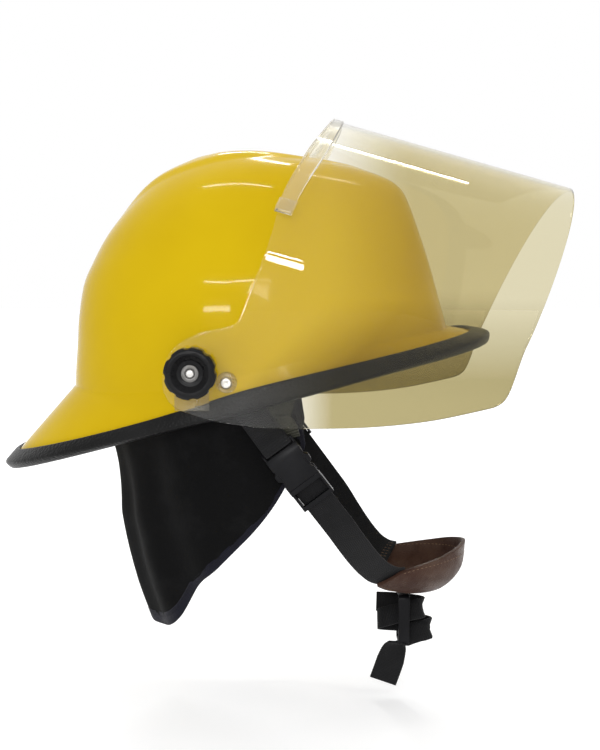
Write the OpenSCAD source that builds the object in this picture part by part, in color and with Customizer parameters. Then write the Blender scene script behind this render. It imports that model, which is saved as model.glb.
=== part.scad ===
/* [Shell] */
// tilt of the brim plane, front up, as worn
helmet_tilt = 14.7; // [0:0.1:25]
// wall of the moulded shell
shell_wall = 3; // [2.2:0.1:4.5]
// half width of the dome where the brim starts
dome_half_width = 101; // [96:0.5:102]
// front of the dome ahead of the head seat
dome_front = 120; // [117.5:0.5:122]
// back of the dome behind the head seat
dome_rear = 138; // [132:0.5:146]
// crown above the head seat
crown_height = 39; // [38:0.5:46]
// level of the front brim root below the head seat
brim_root_drop = 118; // [116:0.5:121]
// front tip of the brim ahead of the head seat
brim_front = 148.2; // [145:0.1:148.5]
// back tip of the brim behind the head seat
brim_rear = 201.6; // [190:0.1:206]
// half width of the brim edge
brim_half_width = 104.5; // [103:0.1:105]
// drop of the brim edge below its root at the front
brim_front_drop = 11.2; // [8:0.1:13]
// drop of the brim edge below its root at the sides
brim_side_drop = 20.5; // [17:0.1:22]
// drop of the brim edge below its root at the back
brim_rear_drop = 40.6; // [34:0.1:44]
// squareness of the front brim in plan
brim_square = 2.6; // [2.3:0.05:2.7]
// rise of the raised crown panel
panel_rise = 2; // [1:0.1:3]
// length of the raised crown panel
panel_len = 172; // [150:1:185]
// width of the raised crown panel
panel_w = 62; // [50:1:74]

/* [Edge trim] */
// leg of the rubber trim over the shell edge
trim_leg = 11.5; // [9:0.1:12.5]
// rubber beyond the shell edge
trim_lip = 2.5; // [1.5:0.1:2.8]
// rubber on each face of the shell
trim_skin = 2.1; // [1.5:0.1:2.4]

/* [Liner and cradle] */
// thickness of the foam impact liner
liner_t = 15; // [12:0.5:17]
// gap left for the liner adhesive
glue_gap = 0.7; // [0.6:0.1:1]
// half length of the headband ring
band_half_len = 98; // [94:0.5:100]
// half width of the headband ring
band_half_w = 79; // [76:0.5:81]
// centre of the headband ring behind the head seat
band_back = 9; // [5:0.5:12]
// level of the headband centre below the head seat
band_drop = 98; // [94:0.5:102]
// height of the headband
band_h = 26; // [20:0.5:30]
// thickness of the headband
band_t = 1.6; // [1.2:0.1:2]
// thickness of the sweatband
sweat_t = 4; // [3:0.1:6]
// height of the sweatband
sweat_h = 34; // [30:0.5:40]
// width of the cradle webbing
cradle_w = 19; // [15:0.5:22]
// thickness of the cradle webbing
cradle_t = 1.2; // [0.9:0.1:1.4]
// diameter of the crown pad
crown_pad_d = 74; // [60:1:84]
// thickness of the crown pad
crown_pad_t = 4; // [3:0.1:6]
// height of the suspension ring
ring_h = 11; // [9:0.5:13]
// thickness of the suspension ring
ring_t = 2.4; // [2:0.1:3]

/* [Ratchet] */
// pitch radius of the pinion
pinion_r = 5; // [4.6:0.1:5.4]
// teeth on the pinion
pinion_teeth = 10; // [8:1:12]
// diameter of the ratchet knob
ratchet_knob_d = 44; // [38:0.5:50]
// thickness of the ratchet knob
ratchet_knob_t = 11; // [9:0.5:14]
// width of the ratchet housing
ratchet_w = 70; // [64:1:76]
// height of the ratchet housing
ratchet_h = 34; // [32:1:40]
// width of the nape pad
nape_pad_w = 36; // [28:1:38]
// clearance between running pieces
run_gap = 0.3; // [0.25:0.05:0.4]

/* [Visor] */
// outer radius of the visor sheet
visor_r = 113; // [112.6:0.1:116]
// thickness of the visor sheet
visor_t = 2.2; // [1.5:0.1:2.4]
// front line of the sheet above the pivot axis
visor_reach = 186.5; // [186:0.1:190]
// length of the sheet along its front line
visor_len = 169.6; // [150:0.5:175]
// rear end of the front line ahead of the pivot
visor_start = 44.4; // [44:0.1:52]
// slope of the raised visor below level
visor_slope = 15.8; // [10:0.1:20]
// pivot behind the head seat, along the brim
pivot_back = 49.8; // [46:0.1:53]
// pivot below the head seat, square to the brim
pivot_drop = 97; // [95:0.1:98]
// width of the clear edge strip at its ends
strip_w = 8; // [6:0.5:10]
// skin of the clear edge strip
strip_t = 1.2; // [0.8:0.1:1.3]

/* [Visor pivot] */
// diameter of the visor knob
knob_d = 33; // [30:0.5:36]
// thickness of the visor knob
knob_t = 14; // [12:0.5:16]
// thread size of the pivot bolt
bolt_d = 6; // [5:0.5:6.5]
// diameter of the friction washers
washer_d = 24; // [20:0.5:26]
// thickness of each friction washer
washer_t = 1.2; // [0.8:0.1:1.4]
// diameter of the pivot spacer
spacer_d = 27; // [24:0.5:30]
// width of the spacer foot below the knob
foot_w = 22; // [18:0.5:24]
// reach of the spacer foot below the pivot
foot_drop = 25; // [20:0.5:25.5]
// thickness of the side bracket plate
bracket_t = 1.5; // [1.2:0.1:2]
// anchor screw ahead of the pivot, along the brim
anchor_ahead = 19.2; // [17:0.1:20]
// anchor screw below the pivot
anchor_below = 12.8; // [11:0.1:13]
// front strap hanger ahead of the pivot
pin_ahead = 65; // [60:0.5:68]
// diameter of the clear anchor washer
anchor_washer_d = 14; // [12:0.5:14]
// thread size of the anchor screw
anchor_d = 4; // [3.5:0.5:4]

/* [Chin strap] */
// width of the strap webbing
web_w = 20; // [18:0.5:20]
// thickness of the strap webbing
web_t = 1.6; // [1.2:0.1:1.6]
// width of the buckle body
buckle_w = 24; // [23.5:0.5:27]
// length of the buckle socket
buckle_len = 30; // [29:0.5:32]
// thickness of the buckle
buckle_t = 8.4; // [8.2:0.1:9.5]
// wall of the buckle
buckle_wall = 1.5; // [1.3:0.1:1.6]
// thickness of the chin cup leather
cup_t = 2.6; // [2:0.1:3]
// half width of the chin cup where the straps join
cup_half_w = 45; // [42:0.5:47]
// travel of the buckle plug when it is drawn out
plug_travel = 20; // [18:0.5:21]

/* [Neck curtain] */
// thickness of the curtain cloth
curtain_t = 2; // [1.4:0.1:2.2]
// depth of the soft folds in the curtain
curtain_fold = 2.6; // [0:0.1:3.5]
// width of the edge binding
binding_w = 7; // [5:0.5:9]

/* [Hidden] */

$fn = 48;

yellow = [0.84, 0.72, 0.05];
black = [0.09, 0.09, 0.1];
grey = [0.45, 0.45, 0.47];
steel = [0.7, 0.71, 0.73];
clear = [0.85, 0.86, 0.8, 0.35];
brown = [0.34, 0.22, 0.16];
foam = [0.2, 0.2, 0.22];
navy = [0.07, 0.08, 0.2];

function unit(v) = v / norm(v);
function lerp(a, b, t) = a + (b - a) * t;
function sgn(x) = x < 0 ? -1 : 1;
// quick smooth curve through four neighbouring values
function smooth4(a, b, c, d, t) =
    b + 0.5 * t * (c - a + t * (2 * a - 5 * b + 4 * c - d + t * (3 * (b - c) + d - a)));
// point on the smooth curve through a list, at a place counted in list steps
function along(list, s) =
    let (n = len(list) - 1, i = min(max(floor(s), 0), n - 1), t = s - i,
        b = list[i], c = list[i + 1],
        a = i > 0 ? list[i - 1] : 2 * b - c,
        d = i < n - 1 ? list[i + 2] : 2 * c - b)
    smooth4(a, b, c, d, t);

// a point of the helmet frame, brim level, in the frame as worn
function worn(p) = [p[0] * cos(helmet_tilt) - p[2] * sin(helmet_tilt), p[1],
    p[0] * sin(helmet_tilt) + p[2] * cos(helmet_tilt)];
// the same point back in the helmet frame
function level(p) = [p[0] * cos(helmet_tilt) + p[2] * sin(helmet_tilt), p[1],
    -p[0] * sin(helmet_tilt) + p[2] * cos(helmet_tilt)];
module as_worn() rotate([0, -helmet_tilt, 0]) children();

// shell form: rows of front reach, front level, back reach, back level, half width, side level
root_level = -brim_root_drop;
scale_f = dome_front / 120;
scale_r = dome_rear / 138;
scale_v = dome_half_width / 101;
scale_w = (crown_height - root_level) / 157;
function lift(w) = root_level + (w + 118) * scale_w;
function dome_row(r) = [r[0] * scale_f, lift(r[1]), r[2] * scale_r, lift(r[3]),
    r[4] * scale_v, lift(r[5])];
dome_rows = [for (r = [[122.5, -118, -141.5, -91, 101, -108.5], [122.3, -95, -138, -80, 100.5, -90],
    [121.8, -70, -133, -66, 99.5, -69], [120.2, -45, -126.3, -46, 97.5, -47],
    [118.3, -26, -117, -25, 92.5, -25], [115, -15, -107, -12, 86.5, -10],
    [106, -5.5, -91.5, 4.5, 76, 5], [88, 6, -71, 20, 61, 18.5], [62, 17.5, -49, 32.5, 43, 28.5],
    [30, 31, -27, 37.8, 22, 36], [-5, 39, -5, 39, 0, 39]]) dome_row(r)];
edge_row = [brim_front, root_level - brim_front_drop, -brim_rear, lift(-91) - brim_rear_drop,
    brim_half_width, lift(-108.5) - brim_side_drop];
last_row = dome_rows[9];
rows = concat([edge_row], dome_rows,
    [[last_row[2], last_row[3], last_row[0], last_row[1], -last_row[4], last_row[5]]]);
function row_at(t) = t <= 1 ? lerp(rows[0], rows[1], t) :
    let (i = min(floor(t), 10), f = t - i)
    smooth4(i == 1 ? 2 * rows[1] - rows[2] : rows[i - 1], rows[i], rows[i + 1], rows[i + 2], f);
function mid_at(t) = -15 + 10 * pow(t / 11, 3);
function square_f(t) = brim_square - 0.05 * t;
function square_r(t) = 2.1;
function panel_at(u, v) =
    let (e = norm([(u - 8) / (panel_len / 2), v / (panel_w / 2)]),
        k = min(max((1.12 - e) / 0.3, 0), 1))
    panel_rise * k * k * (3 - 2 * k);
// point of the outer skin at row t and direction q
function skin(t, q) =
    let (r = row_at(t), m = mid_at(t), c = cos(q), s = sin(q), n = c >= 0 ? square_f(t) : square_r(t),
        ex = pow(abs(c), 2 / n), ey = pow(abs(s), 2 / n),
        u = m + sgn(c) * (c >= 0 ? r[0] - m : m - r[2]) * ex,
        v = r[4] * sgn(s) * ey,
        w = r[5] + ((c >= 0 ? r[1] : r[3]) - r[5]) * pow(ex, 2.5))
    [u, v, w + (t > 6 ? panel_at(u, v) : 0)];
function skin_n(t, q) =
    let (e = t < 1 ? 0.02 : 0.12, ta = max(t - e, 0), tb = min(t + e, 10.95),
        dq = skin(t, q + 1.5) - skin(t, q - 1.5), dt = skin(tb, q) - skin(ta, q))
    unit(cross(dq, dt));
function skin_in(t, q, d) = skin(t, q) - d * skin_n(t, q);
// row and direction of the skin point on the side with a given place along and level
function side_q(t, u) =
    let (r = row_at(t), m = mid_at(t), f = u >= m, n = f ? square_f(t) : square_r(t),
        x = min(abs(u - m) / (f ? r[0] - m : m - r[2]), 0.999))
    f ? acos(pow(x, n / 2)) : 180 - acos(pow(x, n / 2));
function side_t(u, w, a, b, k) = k == 0 ? (a + b) / 2 :
    let (h = (a + b) / 2)
    skin(h, side_q(h, u))[2] < w ? side_t(u, w, h, b, k - 1) : side_t(u, w, a, h, k - 1);
function side_out(u, w) = let (t = side_t(u, w, 0, 7, 22)) skin(t, side_q(t, u))[1];
function side_norm(u, w) =
    unit([side_out(u - 2, w) - side_out(u + 2, w), 4, side_out(u, w - 2) - side_out(u, w + 2)]);
function side_in(u, w) = side_out(u, w) - shell_wall / side_norm(u, w)[1];

// strips of triangles between two rings of points with the same count
function strip_faces(a, b, n, flip) = [for (j = [0 : n - 1])
    let (k = (j + 1) % n)
    each (flip ? [[a + j, b + j, a + k], [a + k, b + j, b + k]]
        : [[a + j, a + k, b + j], [a + k, b + k, b + j]])];

// closed cap between an outer and an inner set of rings, each set ending at one top point
module cap_body(outer, outer_top, inner, inner_top) {
    n = len(outer[0]);
    m = len(outer);
    base = n * m;
    pts = concat([for (r = outer) each r], [for (r = inner) each r], [outer_top, inner_top]);
    faces = concat(
        [for (i = [0 : m - 2]) each strip_faces(i * n, (i + 1) * n, n, true)],
        [for (i = [0 : m - 2]) each strip_faces(base + i * n, base + (i + 1) * n, n, false)],
        [for (j = [0 : n - 1]) [(m - 1) * n + j, 2 * base, (m - 1) * n + (j + 1) % n]],
        [for (j = [0 : n - 1])
            [base + (m - 1) * n + j, base + (m - 1) * n + (j + 1) % n, 2 * base + 1]],
        strip_faces(0, base, n, false));
    polyhedron(pts, faces, convexity = 8);
}

// solid swept through a list of sections, each a ring of points in the same order
module swept(secs, loop = false) {
    n = len(secs[0]);
    m = len(secs);
    pts = [for (r = secs) each r];
    walls = [for (i = [0 : loop ? m - 1 : m - 2])
        each strip_faces(i * n, ((i + 1) % m) * n, n, false)];
    caps = loop ? [] : concat([for (j = [1 : n - 2]) [0, j + 1, j]],
        [for (j = [1 : n - 2]) [(m - 1) * n, (m - 1) * n + j, (m - 1) * n + j + 1]]);
    polyhedron(pts, concat(walls, caps), convexity = 8);
}

// flat strap along a path, with its width direction given at each point
function strap_secs(path, sides, w, t, lift_by = 0) = [for (i = [0 : len(path) - 1])
    let (tan = unit(path[min(i + 1, len(path) - 1)] - path[max(i - 1, 0)]),
        nor = unit(cross(sides[i], tan)), sd = unit(cross(tan, nor)),
        p = path[i] + nor * lift_by)
    [p + sd * w / 2 + nor * t / 2, p - sd * w / 2 + nor * t / 2,
        p - sd * w / 2 - nor * t / 2, p + sd * w / 2 - nor * t / 2]];
module strap(path, sides, w, t, lift_by = 0) swept(strap_secs(path, sides, w, t, lift_by));

module both_sides() {
    children();
    mirror([0, 1, 0]) children();
}
// a cylinder along the wearer's side direction, between two distances from the middle
module across(u, w, y0, y1, d, d2 = 0, n = 48) translate([u, y0, w]) rotate([-90, 0, 0])
    cylinder(d1 = d, d2 = d2 > 0 ? d2 : d, h = y1 - y0, $fn = n);

// places of the pivot hardware, on the wearer's left; the right mirrors it
pivot = [-pivot_back, 0, -pivot_drop];
anchor = [pivot[0] + anchor_ahead, 0, pivot[2] - anchor_below];
pin = [pivot[0] + pin_ahead, 0, pivot[2]];
fit = 0.1;
visor_in = visor_r - visor_t;
inner_washer_y = visor_in - fit - washer_t;
knob_y = visor_r + fit + washer_t + fit;
bracket_r = 8.5;
bracket_y = side_in(pivot[0] - bracket_r, pivot[2]) - 0.4;
bolt_r = bolt_d / 2;

// shell
shell_cols = 72;
shell_steps = [0, 0.5, 1, 1.4, 1.8, 2.3, 2.8, 3.3, 3.8, 4.3, 4.8, 5.3, 5.8, 6.3, 6.8, 7.3, 7.8,
    8.2, 8.6, 9, 9.4, 9.8, 10.2, 10.6];
function dirs(n) = [for (j = [0 : n - 1]) 360 * j / n];
crown_top = skin(10.999, 0);

module shell() color(yellow) as_worn() difference() {
    cap_body([for (t = shell_steps) [for (q = dirs(shell_cols)) skin(t, q)]], crown_top,
        [for (t = shell_steps) [for (q = dirs(shell_cols)) skin_in(t, q, shell_wall)]],
        crown_top - [0, 0, shell_wall]);
    both_sides() {
        across(pivot[0], pivot[2], 60, 130, bolt_d + 0.4);
        across(anchor[0], anchor[2], 60, 130, anchor_d + 0.4);
    }
}

// rubber trim: a channel over the shell edge, with a rounded lip
trim_cols = 72;
trim_gap = 0.3;
function trim_sec(q) =
    let (p = skin(0, q), nrm = skin_n(0.2, q), out = unit(skin(0, q) - skin(0.5, q)),
        a = trim_skin + trim_gap, in = -shell_wall - trim_gap, low = in - trim_skin)
    [for (k = [[-trim_leg, trim_gap], [trim_gap, trim_gap], [trim_gap, in], [-trim_leg, in],
        [-trim_leg, low], [0, low], [trim_lip * 0.7, low + trim_skin * 0.5],
        [trim_lip, -shell_wall / 2 - 1], [trim_lip, -shell_wall / 2 + 1],
        [trim_lip * 0.7, a - trim_skin * 0.5], [0, a], [-trim_leg + 1, a],
        [-trim_leg, a - 0.9]])
        p + out * k[0] + nrm * k[1]];
module edge_trim() color(black) as_worn() swept([for (q = dirs(trim_cols)) trim_sec(q)], true);

// foam liner under the crown
liner_cols = 48;
liner_steps = [4.2, 4.8, 5.4, 6, 6.6, 7.2, 7.8, 8.5, 9.2, 9.9, 10.5];
liner_top = shell_wall + glue_gap;
module impact_liner() color(foam) as_worn()
    cap_body([for (t = liner_steps) [for (q = dirs(liner_cols)) skin_in(t, q, liner_top)]],
        crown_top - [0, 0, liner_top],
        [for (t = liner_steps)
            [for (q = dirs(liner_cols)) skin_in(t, q, liner_top + liner_t)]],
        crown_top - [0, 0, liner_top + liner_t]);

// plastic ring bonded inside the shell, from which the cradle hangs
ring_t0 = 2.45;
ring_rows = ring_h / 42;
ring_off = shell_wall + 0.25;
module suspension_ring() color(black) as_worn()
    swept([for (q = dirs(72)) [skin_in(ring_t0 - ring_rows, q, ring_off),
        skin_in(ring_t0 + ring_rows, q, ring_off),
        skin_in(ring_t0 + ring_rows, q, ring_off + ring_t),
        skin_in(ring_t0 - ring_rows, q, ring_off + ring_t)]],
        true);

// direction round the ring at q
function round_ring(q) = unit(skin(ring_t0, q + 3) - skin(ring_t0, q - 3));

// cradle webbing: bands from the ring up over the head, crossing at the crown
cradle_dirs = [38, 90, 142];
cradle_off = ring_off + ring_t + 1.3 + cradle_t / 2;
function cradle_half(q, k) =
    let (a = skin_in(ring_t0 - ring_rows * 0.5, q, cradle_off),
        b = skin_in(ring_t0 + ring_rows, q, cradle_off),
        top = crown_pad_t + 0.2 + cradle_t / 2 + k * (cradle_t + 0.25),
        far = norm([b[0] + band_back, b[1]]), dir = [b[0] + band_back, b[1]] / far,
        wide = far - liner_t - 11, slim = crown_pad_d / 2 + 1,
        head = [for (g = [[1, -56], [0.92, -42], [0.78, -28], [0.58, -16.5], [0.36, -8.5],
            [0.14, -2.6], [0, 0]])
            let (reach = lerp(slim, wide, g[0]))
            [dir[0] * reach - band_back, dir[1] * reach, g[1] + top]])
    concat([a, b], head, [[-band_back + dir[0] * 0.5, dir[1] * 0.5, top]]);
function reversed(list) = [for (i = [len(list) - 1 : -1 : 0]) list[i]];
module cradle_webbing() color(black) as_worn() for (k = [0 : 2]) {
    q = cradle_dirs[k];
    one = cradle_half(q, k);
    two = cradle_half(q + 180, k);
    path = concat(one, reversed(two));
    d = unit([one[1][0] - two[1][0], one[1][1] - two[1][1], 0]);
    last = len(path) - 1;
    strap(path, [for (i = [0 : last]) i < 2 ? round_ring(q) : i > last - 2 ? -round_ring(q + 180) :
        [-d[1], d[0], 0]], cradle_w, cradle_t);
}

module crown_pad() color(foam) as_worn() translate([-band_back, 0, 0])
    rotate_extrude($fn = 60) polygon([[0, 0], [crown_pad_d / 2 - 3, 0], [crown_pad_d / 2, 1.2],
        [crown_pad_d / 2, crown_pad_t - 1], [crown_pad_d / 2 - 1, crown_pad_t], [0, crown_pad_t]]);

// headband: two halves hinged at the brow and drawn together at the nape
function ring_pt(q, off) = [-band_back + (band_half_len + off) * cos(q), (band_half_w + off) * sin(q)];
brow_u = band_half_len - band_back;
nape_u = -band_half_len - band_back;
lap_gap = 0.5;
module band_piece(q0, q1, off0, off1, low, high, n) {
    outer = [for (i = [0 : n]) ring_pt(lerp(q0, q1, i / n), off1)];
    inner = [for (i = [0 : n]) ring_pt(lerp(q0, q1, i / n), off0)];
    translate([0, 0, low]) linear_extrude(high - low)
        polygon(concat(outer, reversed(inner)));
}
band_low = -band_drop - band_h / 2;
band_high = -band_drop + band_h / 2;
rack_back = 3.2;
pitch = 2 * PI * pinion_r / pinion_teeth;
tooth = 0.9;
rack_w = -band_drop + pinion_r + tooth * 0.5 + 0.1;
rack_end = -27;
rack_in = nape_u + 1.2;
rack_out = rack_in - 1.7;
slot_u0 = rack_out - 1.3;
slot_u1 = rack_in + 1.3;
// toothed strip above the pinion, reaching past the middle
module rack_strip() {
    translate([rack_out, rack_end, rack_w]) cube([rack_in - rack_out, 49, rack_back]);
    for (k = [-6 : 5])
        translate([rack_in, (k + 0.5) * pitch, rack_w + 0.01])
            rotate([90, 0, -90]) linear_extrude(rack_in - rack_out)
                polygon([[-pitch * 0.36, 0.02], [-pitch * 0.17, -tooth], [pitch * 0.17, -tooth],
                    [pitch * 0.36, 0.02]]);
}
band_end = 157;
module brow_end(u) translate([u, 8.6, band_low + 4]) cube([band_t, 1, band_h - 8]);
module band_half_body(q0, plate_u, neck_w) {
    band_piece(q0, band_end, 0, band_t, band_low, band_high, 40);
    // lap at the brow, one half over the other
    hull() {
        band_piece(q0, q0 + 2, 0, band_t, band_low + 4, band_high - 4, 2);
        brow_end(plate_u);
    }
    hull() {
        brow_end(plate_u);
        translate([plate_u, 0, -band_drop]) rotate([0, 90, 0])
            cylinder(d = 16, h = band_t, $fn = 32);
    }
    // neck tapering into the rack
    p = ring_pt(band_end, band_t / 2);
    hull() {
        translate([p[0], p[1], -band_drop - 8]) cylinder(d = band_t, h = 16, $fn = 12);
        translate([rack_out + 0.85, 21, neck_w]) cylinder(d = band_t, h = rack_back, $fn = 12);
    }
}
module brow_hole() translate([brow_u - 5, 0, -band_drop]) rotate([0, 90, 0])
    cylinder(d = 5.4, h = 15, $fn = 32);
module headband_left() color(black) as_worn() {
    difference() {
        band_half_body(13, brow_u + band_t + lap_gap, rack_w);
        brow_hole();
    }
    rack_strip();
}
module headband_right() color(black) as_worn() {
    difference() {
        mirror([0, 1, 0]) band_half_body(7, brow_u, -2 * band_drop - rack_w - rack_back);
        brow_hole();
    }
    translate([0, 0, -2 * band_drop]) mirror([0, 0, 1]) mirror([0, 1, 0]) rack_strip();
}
module sweat_half() difference() {
    band_piece(11, 118, -sweat_t - 0.2, -0.2, -band_drop - sweat_h / 2, -band_drop + sweat_h / 2, 30);
    translate([brow_u - 8, 0, -band_drop]) rotate([0, 90, 0]) cylinder(d = 15, h = 20, $fn = 32);
}
module sweatband_left() color(brown) as_worn() sweat_half();
module sweatband_right() color(brown) as_worn() mirror([0, 1, 0]) sweat_half();

// rivet and strap that carry the brow from the ring
brow_out = brow_u + 2 * band_t + lap_gap;
module brow_rivet() color(steel) as_worn() {
    translate([brow_u - 1.9, 0, -band_drop]) rotate([0, 90, 0]) cylinder(d = 9, h = 1.6, $fn = 32);
    translate([brow_u - 0.4, 0, -band_drop]) rotate([0, 90, 0])
        cylinder(d = 5, h = brow_out - brow_u + 2.6, $fn = 32);
    translate([brow_out + 2.1, 0, -band_drop]) rotate([0, 90, 0])
        cylinder(d1 = 10, d2 = 7, h = 1.6, $fn = 32);
}
front_seat = skin_in(ring_t0, 0, ring_off + ring_t + 0.5);
module front_hanger() color(black) as_worn() difference() {
    translate([0, 7, 0]) rotate([90, 0, 0]) linear_extrude(14)
        polygon([[brow_out + 0.3, -band_drop - 7], [brow_out + 1.9, -band_drop - 7],
            [brow_out + 1.9, -band_drop + 11], [front_seat[0], front_seat[2] - 4],
            [front_seat[0], front_seat[2] + 4], [front_seat[0] - 1.6, front_seat[2] + 4],
            [front_seat[0] - 1.6, front_seat[2] - 3], [brow_out + 0.3, -band_drop + 11]]);
    brow_hole();
}

// ratchet at the nape
module housing_shape() offset(r = 5) square([ratchet_w - 10, ratchet_h - 10], center = true);
house_u0 = slot_u0 - 1.6;
house_u1 = slot_u1 + 1.6;
module ratchet_housing() color(black) as_worn() difference() {
    translate([slot_u0 + 0.05, 0, -band_drop]) rotate([90, 0, 90])
        linear_extrude(house_u1 - slot_u0 - 0.05) housing_shape();
    translate([slot_u0 - 1, -ratchet_w, -band_drop - pinion_r - tooth - rack_back - 0.7])
        cube([slot_u1 - slot_u0 + 1, 2 * ratchet_w, 2 * (pinion_r + tooth + rack_back + 0.7)]);
    // ways in for the necks of the two bands
    both_sides() translate([slot_u0 - 1, 18.5, -band_drop - pinion_r - tooth - rack_back - 0.7])
        cube([12, ratchet_w, 2 * (pinion_r + tooth + rack_back + 0.7)]);
}
module ratchet_cover() color(black) as_worn() difference() {
    translate([house_u0, 0, -band_drop]) rotate([90, 0, 90]) linear_extrude(1.6) housing_shape();
    translate([house_u0 - 1, 0, -band_drop]) rotate([0, 90, 0]) cylinder(d = 6.4, h = 4);
}
module ratchet_pinion() color(grey) as_worn() translate([0, 0, -band_drop]) {
    translate([slot_u0 + 0.2, 0, 0]) rotate([0, 90, 0]) {
        cylinder(r = pinion_r - tooth * 0.75, h = slot_u1 - slot_u0 - 0.4, $fn = 40);
        for (k = [0 : pinion_teeth - 1]) rotate([0, 0, 360 * k / pinion_teeth])
            linear_extrude(slot_u1 - slot_u0 - 0.4)
                polygon([[pinion_r - tooth * 0.9, -pitch * 0.3], [pinion_r + tooth * 0.35, -pitch * 0.13],
                    [pinion_r + tooth * 0.35, pitch * 0.13], [pinion_r - tooth * 0.9, pitch * 0.3]]);
    }
    translate([house_u0 - 5, 0, 0]) rotate([0, 90, 0]) cylinder(d = 5.6, h = 10, $fn = 32);
}
knob_u = house_u0 - 0.4 - ratchet_knob_t;
module ratchet_knob() color(black) as_worn() translate([knob_u, 0, -band_drop]) rotate([0, 90, 0])
    difference() {
        cylinder(d1 = ratchet_knob_d - 3, d2 = ratchet_knob_d, h = ratchet_knob_t, $fn = 60);
        for (k = [0 : 11]) rotate([0, 0, 30 * k]) translate([ratchet_knob_d / 2 + 2.4, 0, -1])
            cylinder(d = 8, h = ratchet_knob_t + 2, $fn = 24);
        translate([0, 0, -1]) cylinder(d1 = ratchet_knob_d * 0.56, d2 = ratchet_knob_d * 0.5, h = 4);
        translate([0, 0, ratchet_knob_t - 5.5]) cylinder(d = 6, h = 8, $fn = 32);
    }
module nape_pad() color(foam) as_worn()
    translate([house_u1 + 0.1, 0, -band_drop]) rotate([90, 0, 90]) linear_extrude(5)
        offset(r = 5) square([nape_pad_w - 10, ratchet_h - 14], center = true);
rear_q = 168;
module rear_hangers() color(black) as_worn() both_sides() {
    s = skin_in(ring_t0 - ring_rows * 0.6, rear_q, ring_off + ring_t + 0.9 + cradle_t / 2);
    e = skin_in(ring_t0 + ring_rows * 0.6, rear_q, ring_off + ring_t + 0.9 + cradle_t / 2);
    foot = [house_u1 - 2.2, s[1], -band_drop + ratchet_h / 2 + cradle_t / 2 + 0.1];
    path = [e, s, [lerp(s[0], foot[0], 0.3), s[1], foot[2] + 4], [foot[0] - 5, foot[1], foot[2]], foot];
    strap(path, [for (i = [0 : 4]) i < 2 ? -round_ring(rear_q) : [0, 1, 0]], 11, cradle_t);
}

// visor, drawn from the pivot with x along its front line and z towards that line
module at_pivot() as_worn() translate(pivot) rotate([0, visor_slope + helmet_tilt, 0]) children();
visor_mid = visor_reach - visor_r;
visor_end = visor_start + 1.5 + visor_len;
module visor_bend(r) translate([-60, 0, 0]) {
    translate([0, 0, visor_mid]) rotate([0, 90, 0]) cylinder(r = r, h = 340, $fn = 144);
    translate([0, -r, -80]) cube([340, 2 * r, 80 + visor_mid]);
}
// the sides of the sheet lengthen with its reach
reach_f = visor_reach / 186.5;
// rear edge of the sheet under its strip, as steps from the end of the front line
edge_steps = [for (e = [[-19.3, -72.7, 1], [-16.9, -54.3, 1.2], [-11.6, -33.6, 1.3],
    [-9.4, -25.8, 1.3], [-5.1, -14.5, 1.1], [0, 0, 0.8], [1.3, 3.5, 0.75]])
    [e[0], e[1] * reach_f, e[2]]];
function edge_pts(dx) = [for (e = edge_steps)
    [visor_start + e[0] + dx, visor_reach + e[1]]];
function inner_pts(dx) = [for (e = edge_steps)
    [visor_start + e[0] + strip_w * e[2] + dx, visor_reach + e[1]]];
neck = [visor_start - 25, 38.6];
outline = concat(reversed(edge_pts(0)), [[visor_start - 19, 102.7 * reach_f],
    [visor_start - 19.3, 93.9 * reach_f], [visor_start - 20.2, 79.2 * reach_f],
    [visor_start - 22.4, 60.3 * reach_f], [visor_start - 23.4, 46.9], neck, [15.5, 34.4],
    [11, 32], [6.75, 29.8], [-1, 25.4], [-7.5, 20.6], [-13.2, 14.4],
    [-16.8, 6.6], [-17.6, -2.1], [-16.6, -9.6], [-13.6, -16.6], [-9.1, -21.8], [-3.4, -24.6],
    [2.4, -25.6], [12, -26.2], [22.3, -26.3], [44.6, -23.6], [62, -19.8], [79.8, -15],
    [97, -10], [114.8, -4.4], [138, 4.2], [160.1, 13.9], [visor_end - 27.3, 28.9],
    [visor_end - 22.4, 32.3], [visor_end - 19.2, 36.6], [visor_end - 17.6, 43],
    [visor_end - 16.9, 52], [visor_end - 16, 69.8 * reach_f], [visor_end - 13.1, 89.7 * reach_f],
    [visor_end, visor_reach + 3]]);
module outline_solid(shape_y = 130) translate([0, shape_y, 0]) rotate([90, 0, 0])
    linear_extrude(2 * shape_y) polygon(outline);
module visor() color(clear) at_pivot() difference() {
    intersection() {
        difference() {
            visor_bend(visor_r);
            visor_bend(visor_in);
        }
        outline_solid();
    }
    across(0, 0, -140, 140, bolt_d + 2 * run_gap);
}
// clear channel over the rear edge, from one side round to the other
module slab(pts) translate([0, 130, 0]) rotate([90, 0, 0]) linear_extrude(260) polygon(pts);
module bend_wall(out, in) difference() {
    visor_bend(visor_r + out);
    visor_bend(visor_in - in);
}
module sheet_room() intersection() {
    bend_wall(fit, fit);
    slab(concat(edge_pts(-fit), [[visor_start + 60, visor_reach + 3.5],
        [visor_start + 60, visor_reach - 90], [visor_start - 19, visor_reach - 90]]));
}
module visor_edge_strip() color(clear) at_pivot() difference() {
    intersection() {
        bend_wall(strip_t + fit, strip_t + fit);
        slab(concat(edge_pts(-strip_t), reversed(inner_pts(0))));
    }
    sheet_room();
}
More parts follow.
